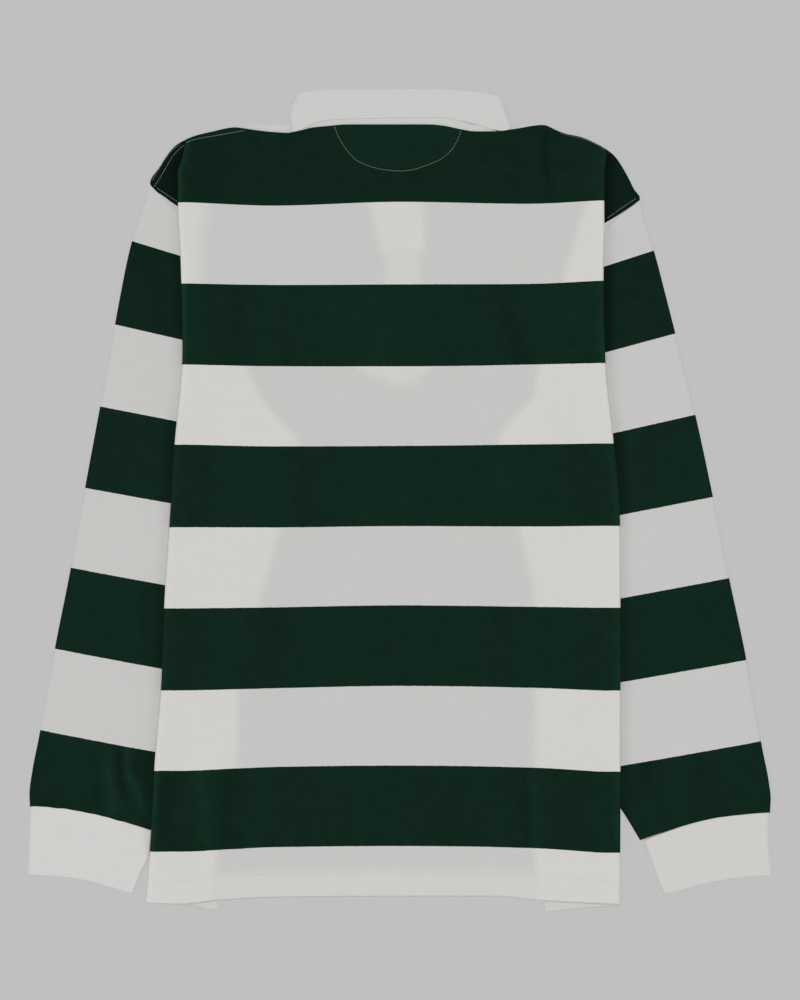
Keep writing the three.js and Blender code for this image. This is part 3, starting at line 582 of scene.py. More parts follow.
# The placket shows through as a column, a flap that leans and widens above it, and a foot.
COLUMN = {"x": 2, "inner": 12, "outer": 21, "from": 106, "to": 112, "share": 0.7}
FLAP = {"x": 2, "y": 232, "half": 20, "lean": -0.14, "widen": 0.1, "inner": 5, "outer": 6, "soft": 6}
FOOT = {"x": -4.5, "y": 128, "half_width": 36, "half_height": 14, "soft": 0.2}
FOOT_SHARE = 0.8


def placket_backing(x, y):
    column = smoothstep(COLUMN["outer"], COLUMN["inner"], abs(x - COLUMN["x"]))
    column = column * smoothstep(COLUMN["from"], COLUMN["to"], y) * COLUMN["share"]
    above = y - FLAP["y"]
    middle, half = FLAP["x"] + FLAP["lean"] * above, FLAP["half"] + FLAP["widen"] * above
    flap = smoothstep(half + FLAP["outer"], half - FLAP["inner"], abs(x - middle))
    flap = flap * smoothstep(FLAP["y"] - FLAP["soft"], FLAP["y"] + FLAP["soft"], y)
    return np.maximum.reduce([column, flap, oval(FOOT, x, y) * FOOT_SHARE])


def body_backing(x, y):
    """How far the white cloth is backed by other layers, from 0 to 1."""
    soft = fade(y, *BACKING_SOFT_LEFT)
    left = smoothstep(soft, -soft, x - backing_left(y))
    right = smoothstep(-BACKING_SOFT_RIGHT, BACKING_SOFT_RIGHT, x - backing_right(y))
    return np.maximum.reduce([left, right, placket_backing(x, y), BACKING_HEM * in_hem(x, y)])


# ---------------- mesh makers


def mesh_object(name, points, faces, weave, band=None, backing=None, shade=1.0):
    """One mesh in metres with its weave map, and at each point its stripe number, backing, and painted shade
    and highlight.
    """
    points = np.asarray(points, float) * MM
    faces = np.asarray(faces)
    a, b, c = (points[faces[:, k]] for k in (0, 1, 2))
    d = points[faces[:, 3]]
    volume = (np.cross(a, b) * c).sum() + (np.cross(a, c) * d).sum()
    if volume < 0:
        faces = faces[:, ::-1]
    mesh = bpy.data.meshes.new(name)
    mesh.from_pydata(points.tolist(), [], faces.tolist())
    mesh.polygons.foreach_set("use_smooth", np.ones(len(faces), bool))
    corners = np.zeros(len(mesh.loops), np.int32)
    mesh.loops.foreach_get("vertex_index", corners)
    layer = mesh.uv_layers.new(name="weave")
    layer.data.foreach_set("uv", (np.asarray(weave, float) * MM)[corners].astype(np.float32).ravel())
    if band is not None:
        for key, values in (("band", band), ("backing", backing), ("shade", shade + 0 * band)):
            store = mesh.attributes.new(key, "FLOAT", "POINT")
            store.data.foreach_set("value", np.asarray(values, np.float32).ravel())
    mesh.update()
    made = bpy.data.objects.new(name, mesh)
    bpy.context.scene.collection.objects.link(made)
    return made


def grid_faces(rows, cols, start=0):
    i, j = np.meshgrid(np.arange(rows - 1), np.arange(cols - 1), indexing="ij")
    at = (start + i * cols + j).ravel()
    return np.stack([at, at + cols, at + cols + 1, at + 1], 1)


def border(rows, cols):
    """Indices round a grid, counterclockwise seen from above."""
    at = np.arange(rows * cols).reshape(rows, cols)
    return np.concatenate([at[:-1, 0], at[-1, :-1], at[:0:-1, -1], at[0, :0:-1]])


# Rings of a sheet's rim, from its top down: how far out, and at what share of its height.
PLAIN_RIM = ((0.25, 0.5),)
ROUND_RIM = ((0.3, 0.8), (0.4, 0.5), (0.3, 0.2))
LAYERED_RIM = ((0.5, 0.9), (0.75, 0.75), (0.5, 0.6), (0.0, 0.5), (0.5, 0.4), (0.75, 0.25), (0.5, 0.1))
CAP_STEPS = 4
FOLD_STEPS = 6


def slab(x, y, top, bottom, rim=PLAIN_RIM):
    """Points and faces of a closed sheet over a grid."""
    x, y, top, bottom = np.broadcast_arrays(x, y, top, bottom)
    rows, cols = x.shape
    loop = border(rows, cols)
    upper = np.stack([x, y, top], -1).reshape(-1, 3)
    lower = np.stack([x, y, bottom], -1).reshape(-1, 3)
    ring = upper[loop, :2]
    along = np.roll(ring, -1, 0) - np.roll(ring, 1, 0)
    out = np.stack([along[:, 1], -along[:, 0]], 1)
    out /= np.maximum(np.linalg.norm(out, axis=1, keepdims=True), 1e-9)
    points = [upper, lower]
    rings = [loop]
    start = 2 * rows * cols
    for outward, share in rim:
        z = mix(lower[loop, 2], upper[loop, 2], share)
        points.append(np.column_stack([ring + out * outward, z]))
        rings.append(start + np.arange(len(loop)))
        start += len(loop)
    rings.append(rows * cols + loop)
    faces = [grid_faces(rows, cols), grid_faces(rows, cols, rows * cols)[:, ::-1]]
    for a, b in zip(rings[:-1], rings[1:]):
        faces.append(np.stack([a, b, np.roll(b, -1), np.roll(a, -1)], 1))
    return np.concatenate(points), np.concatenate(faces)


def ring_faces(a, b, count):
    """Faces between two rings of points that start at a and b."""
    k = np.arange(count)
    after = (k + 1) % count
    return np.stack([a + k, b + k, b + after, a + after], 1)


def end_cap(outer, inner, end, before, cap):
    """Rings that turn round a tube's end, from its outside to its inside."""
    a, b = outer[end], inner[end]
    ahead = a.mean(0) - outer[before].mean(0)
    ahead /= np.linalg.norm(ahead)
    turns = np.linspace(0, math.pi, CAP_STEPS + 2)[1:-1]
    return [(a + b) / 2 + (a - b) / 2 * math.cos(t) + ahead * cap * math.sin(t) for t in turns]


def tube(outer, inner, caps):
    """Points and faces of a walled tube from its rings of outer and inner points, with rounded ends."""
    first = end_cap(outer, inner, 0, 1, caps[0])
    last = end_cap(outer, inner, -1, -2, caps[1])
    loops = [*outer, *last, *inner[::-1], *first[::-1]]
    count, total = outer.shape[1], len(loops)
    faces = [ring_faces(i * count, (i + 1) % total * count, count) for i in range(total)]
    return np.concatenate(loops), np.concatenate(faces)


def flat_loops(place, top, wall, rounding, cross):
    """Outer and inner rings of a flattened tube. place() gives the points of its upper layer."""
    near = edge_steps(rounding, FOLD_STEPS)
    middle = np.linspace(0, 1, cross)[1:-1]
    rise = np.concatenate([rounded(near, rounding), np.ones(len(middle)), rounded(near, rounding)[::-1]])

    def loop(pad):
        x, y, z = place(near + pad, middle, top)
        ceiling = z - pad
        centre = (ceiling + pad) / 2
        upper = np.stack([x, y, mix(centre, ceiling, rise)], -1)
        lower = np.stack([x, y, mix(centre, pad, rise)], -1)
        return np.concatenate([upper, lower[:, -2:0:-1]], 1)

    return loop(0.0), loop(wall)


# ---------------- materials


class Net:
    """A material's nodes, with short names for the common ones."""

    def __init__(self, name):
        self.material = bpy.data.materials.new(name)
        self.material.use_nodes = True
        self.tree = self.material.node_tree
        self.shader = self.tree.nodes["Principled BSDF"]

    def node(self, kind, inputs=None, **settings):
        made = self.tree.nodes.new("ShaderNode" + kind)
        for key, value in settings.items():
            setattr(made, key, value)
        for key, value in (inputs or {}).items():
            self.put(made.inputs[key], value)
        return made

    def put(self, socket, value):
        if isinstance(value, bpy.types.NodeSocket):
            self.tree.links.new(value, socket)
        else:
            socket.default_value = value

    def math(self, operation, a, b=0.0, c=0.0):
        made = self.node("Math", {0: a, 1: b, 2: c}, operation=operation)
        return made.outputs[0]

    def blend(self, share, a, b, mode="MIX"):
        made = self.node("Mix", data_type="RGBA", blend_type=mode)
        for index, value in ((0, share), (6, a), (7, b)):
            self.put(made.inputs[index], value)
        return made.outputs[2]

    def times(self, a, b):
        return self.math("MULTIPLY", a, b)

    def attribute(self, name):
        """What a mesh says at each point."""
        return self.node("Attribute", attribute_name=name).outputs["Fac"]

    def weave(self):
        return self.node("UVMap", uv_map="weave").outputs["UV"]

    def place(self):
        """A point in the object's own space."""
        return self.node("TexCoord").outputs["Object"]

    def scale(self, colour, factor):
        return self.node("VectorMath", {0: colour, "Scale": factor}, operation="SCALE").outputs[0]

    def noise(self, at, scale, detail=2.0, roughness=0.5):
        made = self.node("TexNoise", {"Vector": at, "Scale": scale, "Detail": detail, "Roughness": roughness})
        return made.outputs["Fac"]

    def fit(self, value, low, high):
        made = self.node("MapRange", {"Value": value, "To Min": low, "To Max": high})
        return made.outputs["Result"]

    def set(self, **inputs):
        for key, value in inputs.items():
            self.put(self.shader.inputs[key.replace("_", " ").title().replace("Ior", "IOR")], value)

    def bump(self, height, strength, distance, below=None):
        inputs = {"Height": height, "Strength": strength, "Distance": distance}
        if below is not None:
            inputs["Normal"] = below
        return self.node("Bump", inputs).outputs["Normal"]


def grey(value):
    return (value, value, value, 1)


WHITE = (0.765, 0.765, 0.748, 1)
WHITE_BACKED = (0.865, 0.859, 0.828, 1)
# The darker and paler ends of the green's random mottle.
GREEN = (0.0027, 0.0182, 0.0100, 1)
GREEN_PALE = (0.0066, 0.0283, 0.0169, 1)
GREEN_SHEEN = (0.5, 0.85, 0.7, 1)
WALE, COURSE = 1.15 * MM, 0.95 * MM  # width and height of a stitch of the knitting
LEG_LEAN = 7.0  # how steeply the two legs of a stitch rise, in radians
RIB = 0.9 * MM
WOBBLE = 0.004  # unevenness of a stripe's edge, in stripes


def knit(net, at):
    """Height of plain knitting: columns of small V shapes."""
    parts = net.node("SeparateXYZ", {"Vector": at})
    across = net.math("FRACT", net.times(parts.outputs["X"], 1 / WALE))
    side = net.math("ABSOLUTE", net.math("SUBTRACT", across, 0.5))
    arch = net.math("SUBTRACT", 1.0, net.times(side, 2.0))
    down = net.times(parts.outputs["Y"], 2 * math.pi / COURSE)
    leg = net.math("SINE", net.math("ADD", down, net.times(side, LEG_LEAN)))
    return net.math("ADD", net.times(arch, 0.6), net.times(leg, 0.4))


def fuzz(net, at, scale):
    return net.bump(net.noise(at, scale, 3, 0.65), 0.25, 0.2 * MM)


def rib(net, at, slant, below=None):
    """Relief of a fine rib: diagonal, or along the cloth when the slant is 0."""
    parts = net.node("SeparateXYZ", {"Vector": at})
    line = net.math("ADD", parts.outputs["X"], net.times(parts.outputs["Y"], slant))
    return net.bump(net.math("SINE", net.times(line, 2 * math.pi / RIB)), 0.3, 0.12 * MM, below)


def jersey():
    net = Net("striped_jersey")
    at = net.weave()
    height = knit(net, at)
    wobble = net.fit(net.noise(at, 420, 1), -WOBBLE, WOBBLE)
    stripe = net.math("FRACT", net.times(net.math("ADD", net.attribute("band"), wobble), 0.5))
    slub = net.noise(at, 70, 5, 0.7)
    grain = net.noise(at, 900, 2, 0.6)
    # shade is the painted shade and highlight map: it goes fully into the green and only faintly into the
    # white.
    shade = net.attribute("shade")
    white = net.blend(net.attribute("backing"), WHITE, WHITE_BACKED)
    white = net.blend(1.0, white, net.blend(slub, grey(0.965), grey(1)), "MULTIPLY")
    white = net.scale(white, net.math("MULTIPLY_ADD", shade, 0.06, 0.94))
    mottle = net.math("MULTIPLY_ADD", slub, 1.6, net.math("MULTIPLY_ADD", grain, 0.6, -0.6))
    dark = net.scale(net.blend(mottle, GREEN, GREEN_PALE), shade)
    colour = net.blend(net.math("GREATER_THAN", stripe, 0.5), white, dark)
    # Painted shade in the knit's hollows and painted highlight on its raised loops.
    colour = net.blend(1.0, colour, net.blend(height, grey(0.93), grey(1.03)), "MULTIPLY")
    normal = net.bump(height, 0.35, 0.16 * MM, fuzz(net, at, 1500))
    net.set(base_color=colour, roughness=0.7, normal=normal, specular_ior_level=0.05)
    net.set(sheen_weight=0.3, sheen_roughness=0.12, sheen_tint=GREEN_SHEEN)
    return net.material


def twill(name, colour, slant=1.0):
    """Plain white cloth with a fine rib, by the weave map."""
    net = Net(name)
    at = net.weave()
    slub = net.blend(net.noise(at, 70, 4, 0.6), grey(0.97), grey(1))
    tone = net.blend(1.0, colour, slub, "MULTIPLY")
    net.set(base_color=tone, roughness=0.86, normal=rib(net, at, slant, fuzz(net, at, 1400)))
    net.set(specular_ior_level=0.25, sheen_weight=0.12, sheen_roughness=0.4)
    return net.material


def thread(name, colour):
    net = Net(name)
    at = net.place()
    tone = net.blend(net.noise(at, 700, 2), colour, tuple(0.8 * c for c in colour[:3]) + (1,))
    net.set(base_color=tone, roughness=0.6, normal=net.bump(net.noise(at, 2500, 2), 0.3, 0.1 * MM))
    return net.material


def placket_cloth():
    net = Net("placket_twill")
    at = net.place()
    tone = net.blend(net.noise(at, 80, 4), (0.74, 0.73, 0.7, 1), (0.8, 0.79, 0.76, 1))
    net.set(base_color=tone, roughness=0.86, normal=rib(net, at, 1.0))
    return net.material


def button_rubber():
    net = Net("button_rubber")
    at = net.place()
    tone = net.blend(net.noise(at, 160, 3), (0.78, 0.77, 0.73, 1), (0.83, 0.82, 0.79, 1))
    net.set(base_color=tone, roughness=0.5, normal=net.bump(net.noise(at, 900, 2), 0.2, 0.05 * MM))
    return net.material


JERSEY = jersey()
COLLAR_CLOTH = twill("collar_twill", (0.787, 0.791, 0.77, 1))
# The collar's cloth on the stand, painted darker for the shade under the leaf's free edge.
STAND_CLOTH = twill("stand_twill_painted_shade", (0.763, 0.777, 0.752, 1))
# One cuff cloth in two copies: the left painted lighter and the right painted darker, as if lit more from the
# left.
CUFF_CLOTHS = {
    "cuff_left": twill("cuff_knit_left_painted_lighter", (0.848, 0.829, 0.811, 1), 0.0),
    "cuff_right": twill("cuff_knit_right_painted_darker", (0.813, 0.8, 0.766, 1), 0.0),
}
THREAD = thread("thread", (0.78, 0.87, 0.8, 1))
NECK_THREAD = thread("neck_thread", (0.55, 0.68, 0.59, 1))
WHITE_THREAD = thread("white_thread", (0.8, 0.79, 0.76, 1))

# ---------------- pieces of cloth


def dress(made, node, material):
    """Gives a piece of cloth its finish and its body, and hides the solid that it stands for."""
    made.data.materials.append(material)
    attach(made, "root")
    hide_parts(node)
    return made


def body_grid(edges, rows, upper_edge, pitch):
    """Plan of a body panel: columns between its sides, rows given as functions of both ends of a column."""
    count = int((SHOULDERS["x"][-1] - SHOULDERS["x"][0]) / pitch)
    share = np.concatenate([np.zeros(len(edges)), np.linspace(0, 1, count)[1:-1], np.ones(len(edges))])
    reach = edges[-1]
    inset = np.concatenate([edges, np.linspace(reach, -reach, count)[1:-1], -edges[::-1]])
    across_top = mix(SHOULDERS["x"][0], SHOULDERS["x"][-1], share) + inset
    across_hem = mix(HEM["x"][0], HEM["x"][-1], share) + inset
    upper, lower = upper_edge(across_top), hem_y(across_hem)
    y = np.stack([row(upper, lower) for row in rows])
    x = mix(left_x(y), right_x(y), share) + inset
    return x, y


HEM_ZONE_ROWS = 8


def level_rows(edge, top_steps, pitch, hem_steps):
    """Rows of a panel: close to its upper edge, level down its length, and close to its hem."""
    rows = [lambda upper, lower, d=d: upper - d for d in edge]
    shares = np.linspace(0, 1, top_steps)[1:]
    rows += [lambda upper, lower, t=t: mix(upper - edge[-1], TOP_ZONE, t) for t in shares]
    levels = np.linspace(TOP_ZONE, HEM_ZONE, int((TOP_ZONE - HEM_ZONE) / pitch))[1:]
    rows += [lambda upper, lower, y=y: y + 0 * upper for y in levels]
    shares = np.linspace(0, 1, HEM_ZONE_ROWS)[1:]
    rows += [lambda upper, lower, t=t: mix(HEM_ZONE, lower + hem_steps[0], t) for t in shares]
    rows += [lambda upper, lower, d=d: lower + d for d in hem_steps[1:]]
    return rows


def thinned(top, bottom, share):
    """A sheet drawn in to its middle, to a share of its thickness."""
    centre = (top + bottom) / 2
    return mix(centre, top, share), mix(centre, bottom, share)


def striped(name, points, faces, band, backing, shade=1.0):
    """A mesh of jersey that lies flat: its weave goes across, and down in stripes."""
    weave = np.column_stack([points[:, 0], -BAND * band])
    return mesh_object(name, points, faces, weave, band, backing + 0 * band, shade)


HEM_ROWS = [26, 25, 24.4, 23.9, 23.4, 22.9, 22.4, 21.8, 21, 20, 18, 15, 12, 9, 6.5, 4.5, 3]
FRONT_HEM_ROWS = [26, 24, 22, 15, 8, 4]
EDGE_WIDTH = 1.5
EDGE_LEAST = 0.1  # share of the thickness left at an edge's very end
LIP_LEAST = 0.06
LIP_CENTRE = 0.45  # height of the fold's line, as a share of the thickness
LIP_REACH = (LIP_WIDTH - 0.3, LIP_WIDTH + 2.5)  # its underside rises from the fold between these
FRONT_INSET = 0.6  # the front's sides are this far inside the back's lips
FRONT_HEM_INSET = 0.8  # and its hem this far inside the back's
FRONT_DROP = 2.5  # its shoulders are this far below the back's


def back_panel():
    lip = edge_steps(LIP_WIDTH, 7)
    near = edge_steps(EDGE_WIDTH, 6)
    rows = level_rows(near, 46, 3.4, HEM_ROWS + list(near[::-1]))
    x, y = body_grid(lip, rows, shoulder_y, 3.1)
    top, bottom = back_top(x, y), back_under(x, y)
    for tuck, distance in ((LEFT_TUCK, x - left_x(y)), (RIGHT_TUCK, right_x(y) - x)):
        lowered = np.minimum(bottom, tuck["edge_z"](y) + GAP)
        bottom = mix(lowered, bottom, smoothstep(*LIP_REACH, distance))
        share = np.maximum(rounded(distance, LIP_WIDTH), LIP_LEAST)
        centre = mix(bottom, top, LIP_CENTRE)
        top = mix(centre, top, share)
        bottom = np.where(distance < LIP_WIDTH, mix(centre, bottom, share), bottom)
    for distance in (shoulder_y(x) - y, y - hem_y(x)):
        top, bottom = thinned(top, bottom, np.maximum(rounded(distance, EDGE_WIDTH), EDGE_LEAST))
    points, faces = slab(x, y, top, bottom)
    at = points.T[:2]
    made = striped("back_panel", points, faces, body_band(*at), body_backing(*at), body_shade(*at))
    return dress(made, "back", JERSEY)


def front_edge(x):
    """Upper edge of the front: its shoulders and its neckline."""
    inside = np.clip(1 - ((x - NECK["x"]) / (NECK["half_width"] + GAP)) ** 2, 0, 1)
    neckline = NECK["y"] - (NECK["depth"] + GAP) * np.sqrt(inside)
    return np.minimum(shoulder_y(x) - FRONT_DROP, neckline)


def front_panel():
    near = edge_steps(1.0, 3)
    rows = level_rows(near, 14, 12, FRONT_HEM_ROWS + [FRONT_HEM_INSET + d for d in near[::-1]])
    x, y = body_grid(LIP_WIDTH + FRONT_INSET + near, rows, front_edge, 8)
    bottom = front_under(x, y)
    points, faces = slab(x, y, bottom + CLOTH, bottom, ROUND_RIM)
    made = striped("front_panel", points, faces, body_band(*points.T[:2]), 0)
    return dress(made, "front", JERSEY)


TUCK_RIM = np.array([0, 0.35, 1.1, 2.4, 6.0])  # columns beside the outer edge
TUCK_END = np.array([1.2, 0.4, 0])  # and beside the inner one
TUCK_FLAP = 9  # columns over the sleeve
TUCK_OVERLAP = 12  # the least width over the sleeve
TUCK_STEP = (4, 8)  # it comes down between these distances past the sleeve
TUCK_HEM_ROWS = np.array([18, 10, 5, 4.3, 4, 2.5, 1.2, 0.5, 0.1])
TUCK_HEM_LAYER = {"below": 4.2, "height": 3.4}
TUCK_LAST_ROW = -352
TUCK_FREE_ROWS = 8  # rows past the sleeve's end
# How wide each edge is rounded, and the share of the thickness left at its end.
TUCK_ROUND = {"sides": (2.4, 0.5), "hem": (1.5, 0.35), "corner": (1.5, 0.4)}
TUCK_BACKING = 0.8
# Painted shadow on the shoulder corner: this dark at the body's folded edge, lighter out to this distance.
TUCK_SHADE = 0.3
TUCK_SHADE_REACH = 16


def tuck_levels(tuck):
    """Heights of a tucked side's rows, from its corner to its hem."""
    top, end, sleeve_end = tuck["corner"]["y"][0], tuck["corner"]["y"][-1], tuck["sleeve_end"]
    hem_corner = float(tuck["hem_y"](tuck["body_x"](HEM_ZONE)))
    return np.concatenate([
        top - edge_steps(2, 4),
        np.linspace(top - 4, end, 22),
        np.linspace(end - GAP, sleeve_end, 60),
        np.linspace(sleeve_end - 4, TUCK_LAST_ROW, TUCK_FREE_ROWS),
        hem_corner + TUCK_HEM_ROWS,
    ])[:, None]


def tuck_columns(tuck, sleeve, level):
    """Outer and inner edge of a tucked side at each height, and its columns between them."""
    side = tuck["side"]
    order = np.argsort(sleeve["iy"])
    sleeve_inner = through({"y": sleeve["iy"][order], "x": sleeve["ix"][order]}, "y", "x")
    beside_body = tuck["body_x"](level) - TUCK_INSET * side
    outer = np.where(level >= tuck["corner"]["y"][-1], tuck["corner_x"](level), beside_body)
    inner = tuck["inner_x"](level) + 0 * outer
    under = outer - np.maximum(TUCK_OVERLAP, (outer - sleeve_inner(level)) * side) * side
    rim = outer - TUCK_RIM * side
    flap = mix(rim[:, -1:], under - TUCK_STEP[0] * side, np.linspace(0, 1, TUCK_FLAP + 1)[1:])
    end = TUCK_ROUND["sides"][0] * side
    rest = mix(under - TUCK_STEP[1] * side, inner + end, np.linspace(0, 1, 12))
    return outer, inner, np.concatenate([rim, flap, rest, inner + TUCK_END * side], 1)


def tucked_side(name, tuck, sleeve):
    """The layers folded under one side: shoulder corner, long pleat and hem, with layered edges."""
    side, hem = tuck["side"], tuck["hem_y"]
    corner_top, corner_end = tuck["corner"]["y"][0], tuck["corner"]["y"][-1]
    level = tuck_levels(tuck)
    outer, inner, x = tuck_columns(tuck, sleeve, level)
    y = level + 0 * x
    tail = len(TUCK_HEM_ROWS)
    y[-tail:] = hem(x[-tail:]) + TUCK_HEM_ROWS[:, None]
    row = np.arange(len(level))[:, None]
    over_sleeve = (level < corner_end) & (row < len(level) - tail - TUCK_FREE_ROWS)
    raised = over_sleeve & (np.arange(x.shape[1]) < len(TUCK_RIM) + TUCK_FLAP)
    bottom = np.where(raised, SLEEVE_FLAT + GAP, 0.0)
    top = tuck_top(tuck, x, y)
    low = TUCK_HEM_ROWS < TUCK_HEM_LAYER["below"]
    top[-tail:][low] = np.minimum(top[-tail:][low], TUCK_HEM_LAYER["height"])
    share = 1.0
    beside = np.minimum(abs(outer - x), abs(x - inner))
    for key, distance in (("sides", beside), ("hem", y - hem(x)), ("corner", corner_top - y)):
        width, least = TUCK_ROUND[key]
        share = np.minimum(share, np.maximum(rounded(distance, width), least))
    top, bottom = thinned(top, bottom, share)
    bottom = np.where(raised, np.maximum(bottom, SLEEVE_FLAT + GAP), bottom)
    if side > 0:
        x, y, top, bottom = (grid[:, ::-1] for grid in (x, y, top, bottom))
    points, faces = slab(x, y, top, bottom, LAYERED_RIM)
    x, y = points.T[:2]
    band = body_band(x, y)
    # The corner is green even a little below its end, so its number stays off the first white stripe.
    band = np.where(y > corner_end - 8, np.minimum(band, -0.1), band)
    # Painted shadow: the corner is darkest beside the body's folded edge.
    outward = (x - tuck["body_x"](y)) * side
    shade = fade(outward, 0, TUCK_SHADE_REACH, TUCK_SHADE, tuck["corner_shade"])
    made = striped(name, points, faces, band, TUCK_BACKING, shade)
    node = "tuck_left" if side < 0 else "tuck_right"
    return dress(made, node, JERSEY)


GATHERS = {"height": 0.3, "reach": 20}
SLEEVE_CALM = 12  # relief fades out over this width beside the folds
SLEEVE_LOFT = 26  # and the loft over this one
SLEEVE_CLEAR = (1, 34)  # it is flat beside the body, and gets its height between these distances
TUBE_ROUND = 2.6
# Painted light: the left sleeve's white is a little brighter, as if lit more from the left.
LEFT_SLEEVE_LIGHTER = 0.07  # the left sleeve is a little brighter


def sleeve_relief(side, x, y, t, along, total):
    """Creases of a sleeve, and the gathers where it is sewn into its cuff."""
    gather = GATHERS["height"] * hump(total - along, GATHERS["reach"])
    waves = np.sin(t * 31 + 2.2 * np.sin(t * 9 + side)) + 0.6 * np.sin(t * 53 + 1.9)
    return gather * waves + creases(SLEEVE_CREASES, x, y) + UNEVENNESS * ripple(x, y, 2.0 + side)


def tube_piece(name, side, lines, wall, flat, pitch, cross, band_at, relief, cap):
    """A sleeve or cuff laid flat, from its cross lines."""
    mid = np.column_stack([lines["ox"] + lines["ix"], lines["oy"] + lines["iy"]]) / 2
    reach = distances(mid)
    along = np.linspace(0, reach[-1], int(reach[-1] / pitch))
    row = {k: through({"s": reach, k: v}, "s", k)(along)[:, None] for k, v in lines.items()}
    across = np.hypot(row["ix"] - row["ox"], row["iy"] - row["oy"])
    power = math.log(0.5) / np.log(row["peak"])

    def place(near, middle, top):
        first, last = near / across, 1 - near[..., ::-1] / across
        t = np.concatenate([first, mix(first[:, -1:], last[:, :1], middle), last], 1)
        x = mix(row["ox"], row["ix"], t)
        y = mix(row["oy"], row["iy"], t) + row["bow"] * np.sin(math.pi * np.clip(t, 0, 1) ** power)
        return x, y, top(x, y, t)

    def top(x, y, t):
        inset = np.minimum(t, 1 - t) * across
        beside = smoothstep(*SLEEVE_CLEAR, (x - body_x[side](y)) * side)
        clear = np.where(y > hem_y(x), beside, 1)
        extra = relief(side, x, y, t, along[:, None], reach[-1]) * smoothstep(0, SLEEVE_CALM, inset)
        return flat + (row["loft"] * smoothstep(0, SLEEVE_LOFT, inset) + extra) * clear

    outer, inner = flat_loops(place, top, wall, TUBE_ROUND, cross)
    points, faces = tube(outer, inner, (cap, cap))
    girth = np.cumsum(np.linalg.norm(np.diff(outer, axis=1, append=outer[:, :1]), axis=2), 1)
    first, last = (np.repeat(girth[[end]], CAP_STEPS, 0) for end in (0, -1))
    around = np.concatenate([girth, last, girth[::-1], first])
    at = points.T[:2]
    band = band_at(*at)
    weave = np.column_stack([around.ravel(), -BAND * band])
    backing = 0 * band + (LEFT_SLEEVE_LIGHTER if side < 0 else 0.0)
    return mesh_object(name, points, faces, weave, band, backing, sleeve_shade(side, *at))


def sleeve(name, side, lines, bands):
    band = sleeve_band(bands)
    made = tube_piece(name + "_cloth", side, lines, CLOTH, SLEEVE_FLAT, 3.2, 40, band, sleeve_relief, 0.5)
    return dress(made, name, JERSEY)


def cuff(name, side, lines):
    def level(side, x, y, t, along, total):
        return 0.12 * ripple(x * 2, y * 2, side)

    def band(x, y):
        return -y / BAND

    made = tube_piece(name + "_cloth", side, lines, CUFF_WALL, CUFF_FLAT, 2.4, 44, band, level, 0.8)
    return dress(made, name, CUFF_CLOTHS[name])


def join_meshes(parts):
    """Points and faces of several closed forms as one mesh."""
    points, faces, start = [], [], 0
    for p, f in parts:
        points.append(p)
        faces.append(f + start)
        start += len(p)
    return np.concatenate(points), np.concatenate(faces)


# Rings of a front leaf: how far out from its middle, and at what share of its height.
LEAF_RINGS = ((0.02, 1), (0.97, 1), (0.995, 0.85), (1, 0.5), (0.995, 0.15), (0.97, 0), (0.02, 0))
LEAF_STEPS = 8


def leaf_plate(outline, height):
    """A front leaf of the collar as a flat plate over a fan of its outline."""
    corners = np.array(outline, float)
    steps = np.linspace(0, 1, LEAF_STEPS + 1)[:-1, None]
    ring = np.concatenate([mix(a, b, steps) for a, b in zip(corners, np.roll(corners, -1, 0))])
    centre, count = corners.mean(0), len(ring)
    loops = [np.column_stack([mix(centre, ring, out), np.full(count, height * z)]) for out, z in LEAF_RINGS]
    faces = [ring_faces(i * count, (i + 1) * count, count) for i in range(len(loops) - 1)]
    return np.concatenate(loops), np.concatenate(faces)


COLLAR_ROUND = 5
COLLAR_EDGES = (1.8, 0.2)  # the leaf starts below its fold's line, and ends above its free edge's
COLLAR_CAPS = (1.2, 0.35)
COLLAR_THIN = 1.5  # its wall gets thinner to the free edge by this much
COLLAR_FALL = 1.6  # and its top lower by this much
COLLAR_ROLL = {"depth": 0.9, "from": 1.5, "width": 6}
COLLAR_DRAPE = 0.25
COLLAR_LIFTED = {"x": 66, "reach": 6, "height": 1.5}  # where the free edge stands up
STAND_INSET, STAND_OVERLAP = 3.5, 0.7


def collar():
    """The collar: its back leaf folds down over the stand, round both sides, to the front leaves."""
    steps = ((0, 0.2, 9), (0.2, 0.9, 14), (0.9, 1, 5))
    share = np.concatenate([[0], *(np.linspace(*step)[1:] for step in steps)])[:, None]
    left, right = collar_left(share), collar_right(share)

    def place(near, middle, top):
        inner_left, inner_right = left + near, right - near[..., ::-1]
        across = mix(inner_left[:, -1:], inner_right[:, :1], middle)
        x = np.concatenate([inner_left, across, inner_right], 1)
        y = mix(fold_y(x) - COLLAR_EDGES[0], free_y(x) + COLLAR_EDGES[1], share)
        return x, y, top(x, y, None)

    def top(x, y, t):
        fold = fold_y(x) - y - COLLAR_ROLL["from"]
        roll = COLLAR_ROLL["depth"] * (1 - rounded(fold, COLLAR_ROLL["width"]))
        drape = COLLAR_DRAPE * ripple(x * 1.3, y * 2, 3.0) * smoothstep(0, 0.3, share) * (1 - share)
        lifted = COLLAR_LIFTED["height"] * hump(x - COLLAR_LIFTED["x"], COLLAR_LIFTED["reach"])
        return LEAF_TOP - 0.2 - roll + drape + lifted * smoothstep(0.7, 1, share) - COLLAR_FALL * share

    outer, inner = flat_loops(place, top, COLLAR_WALL - COLLAR_THIN * share, COLLAR_ROUND, 70)
    parts = [tube(outer, inner, COLLAR_CAPS)]
    parts += [leaf_plate(outline, COLLAR_WALL - 0.1) for outline in FRONT_LEAVES]
    points, faces = join_meshes(parts)
    made = mesh_object("collar_leaf", points, faces, points[:, :2])
    return dress(made, "collar", COLLAR_CLOTH)


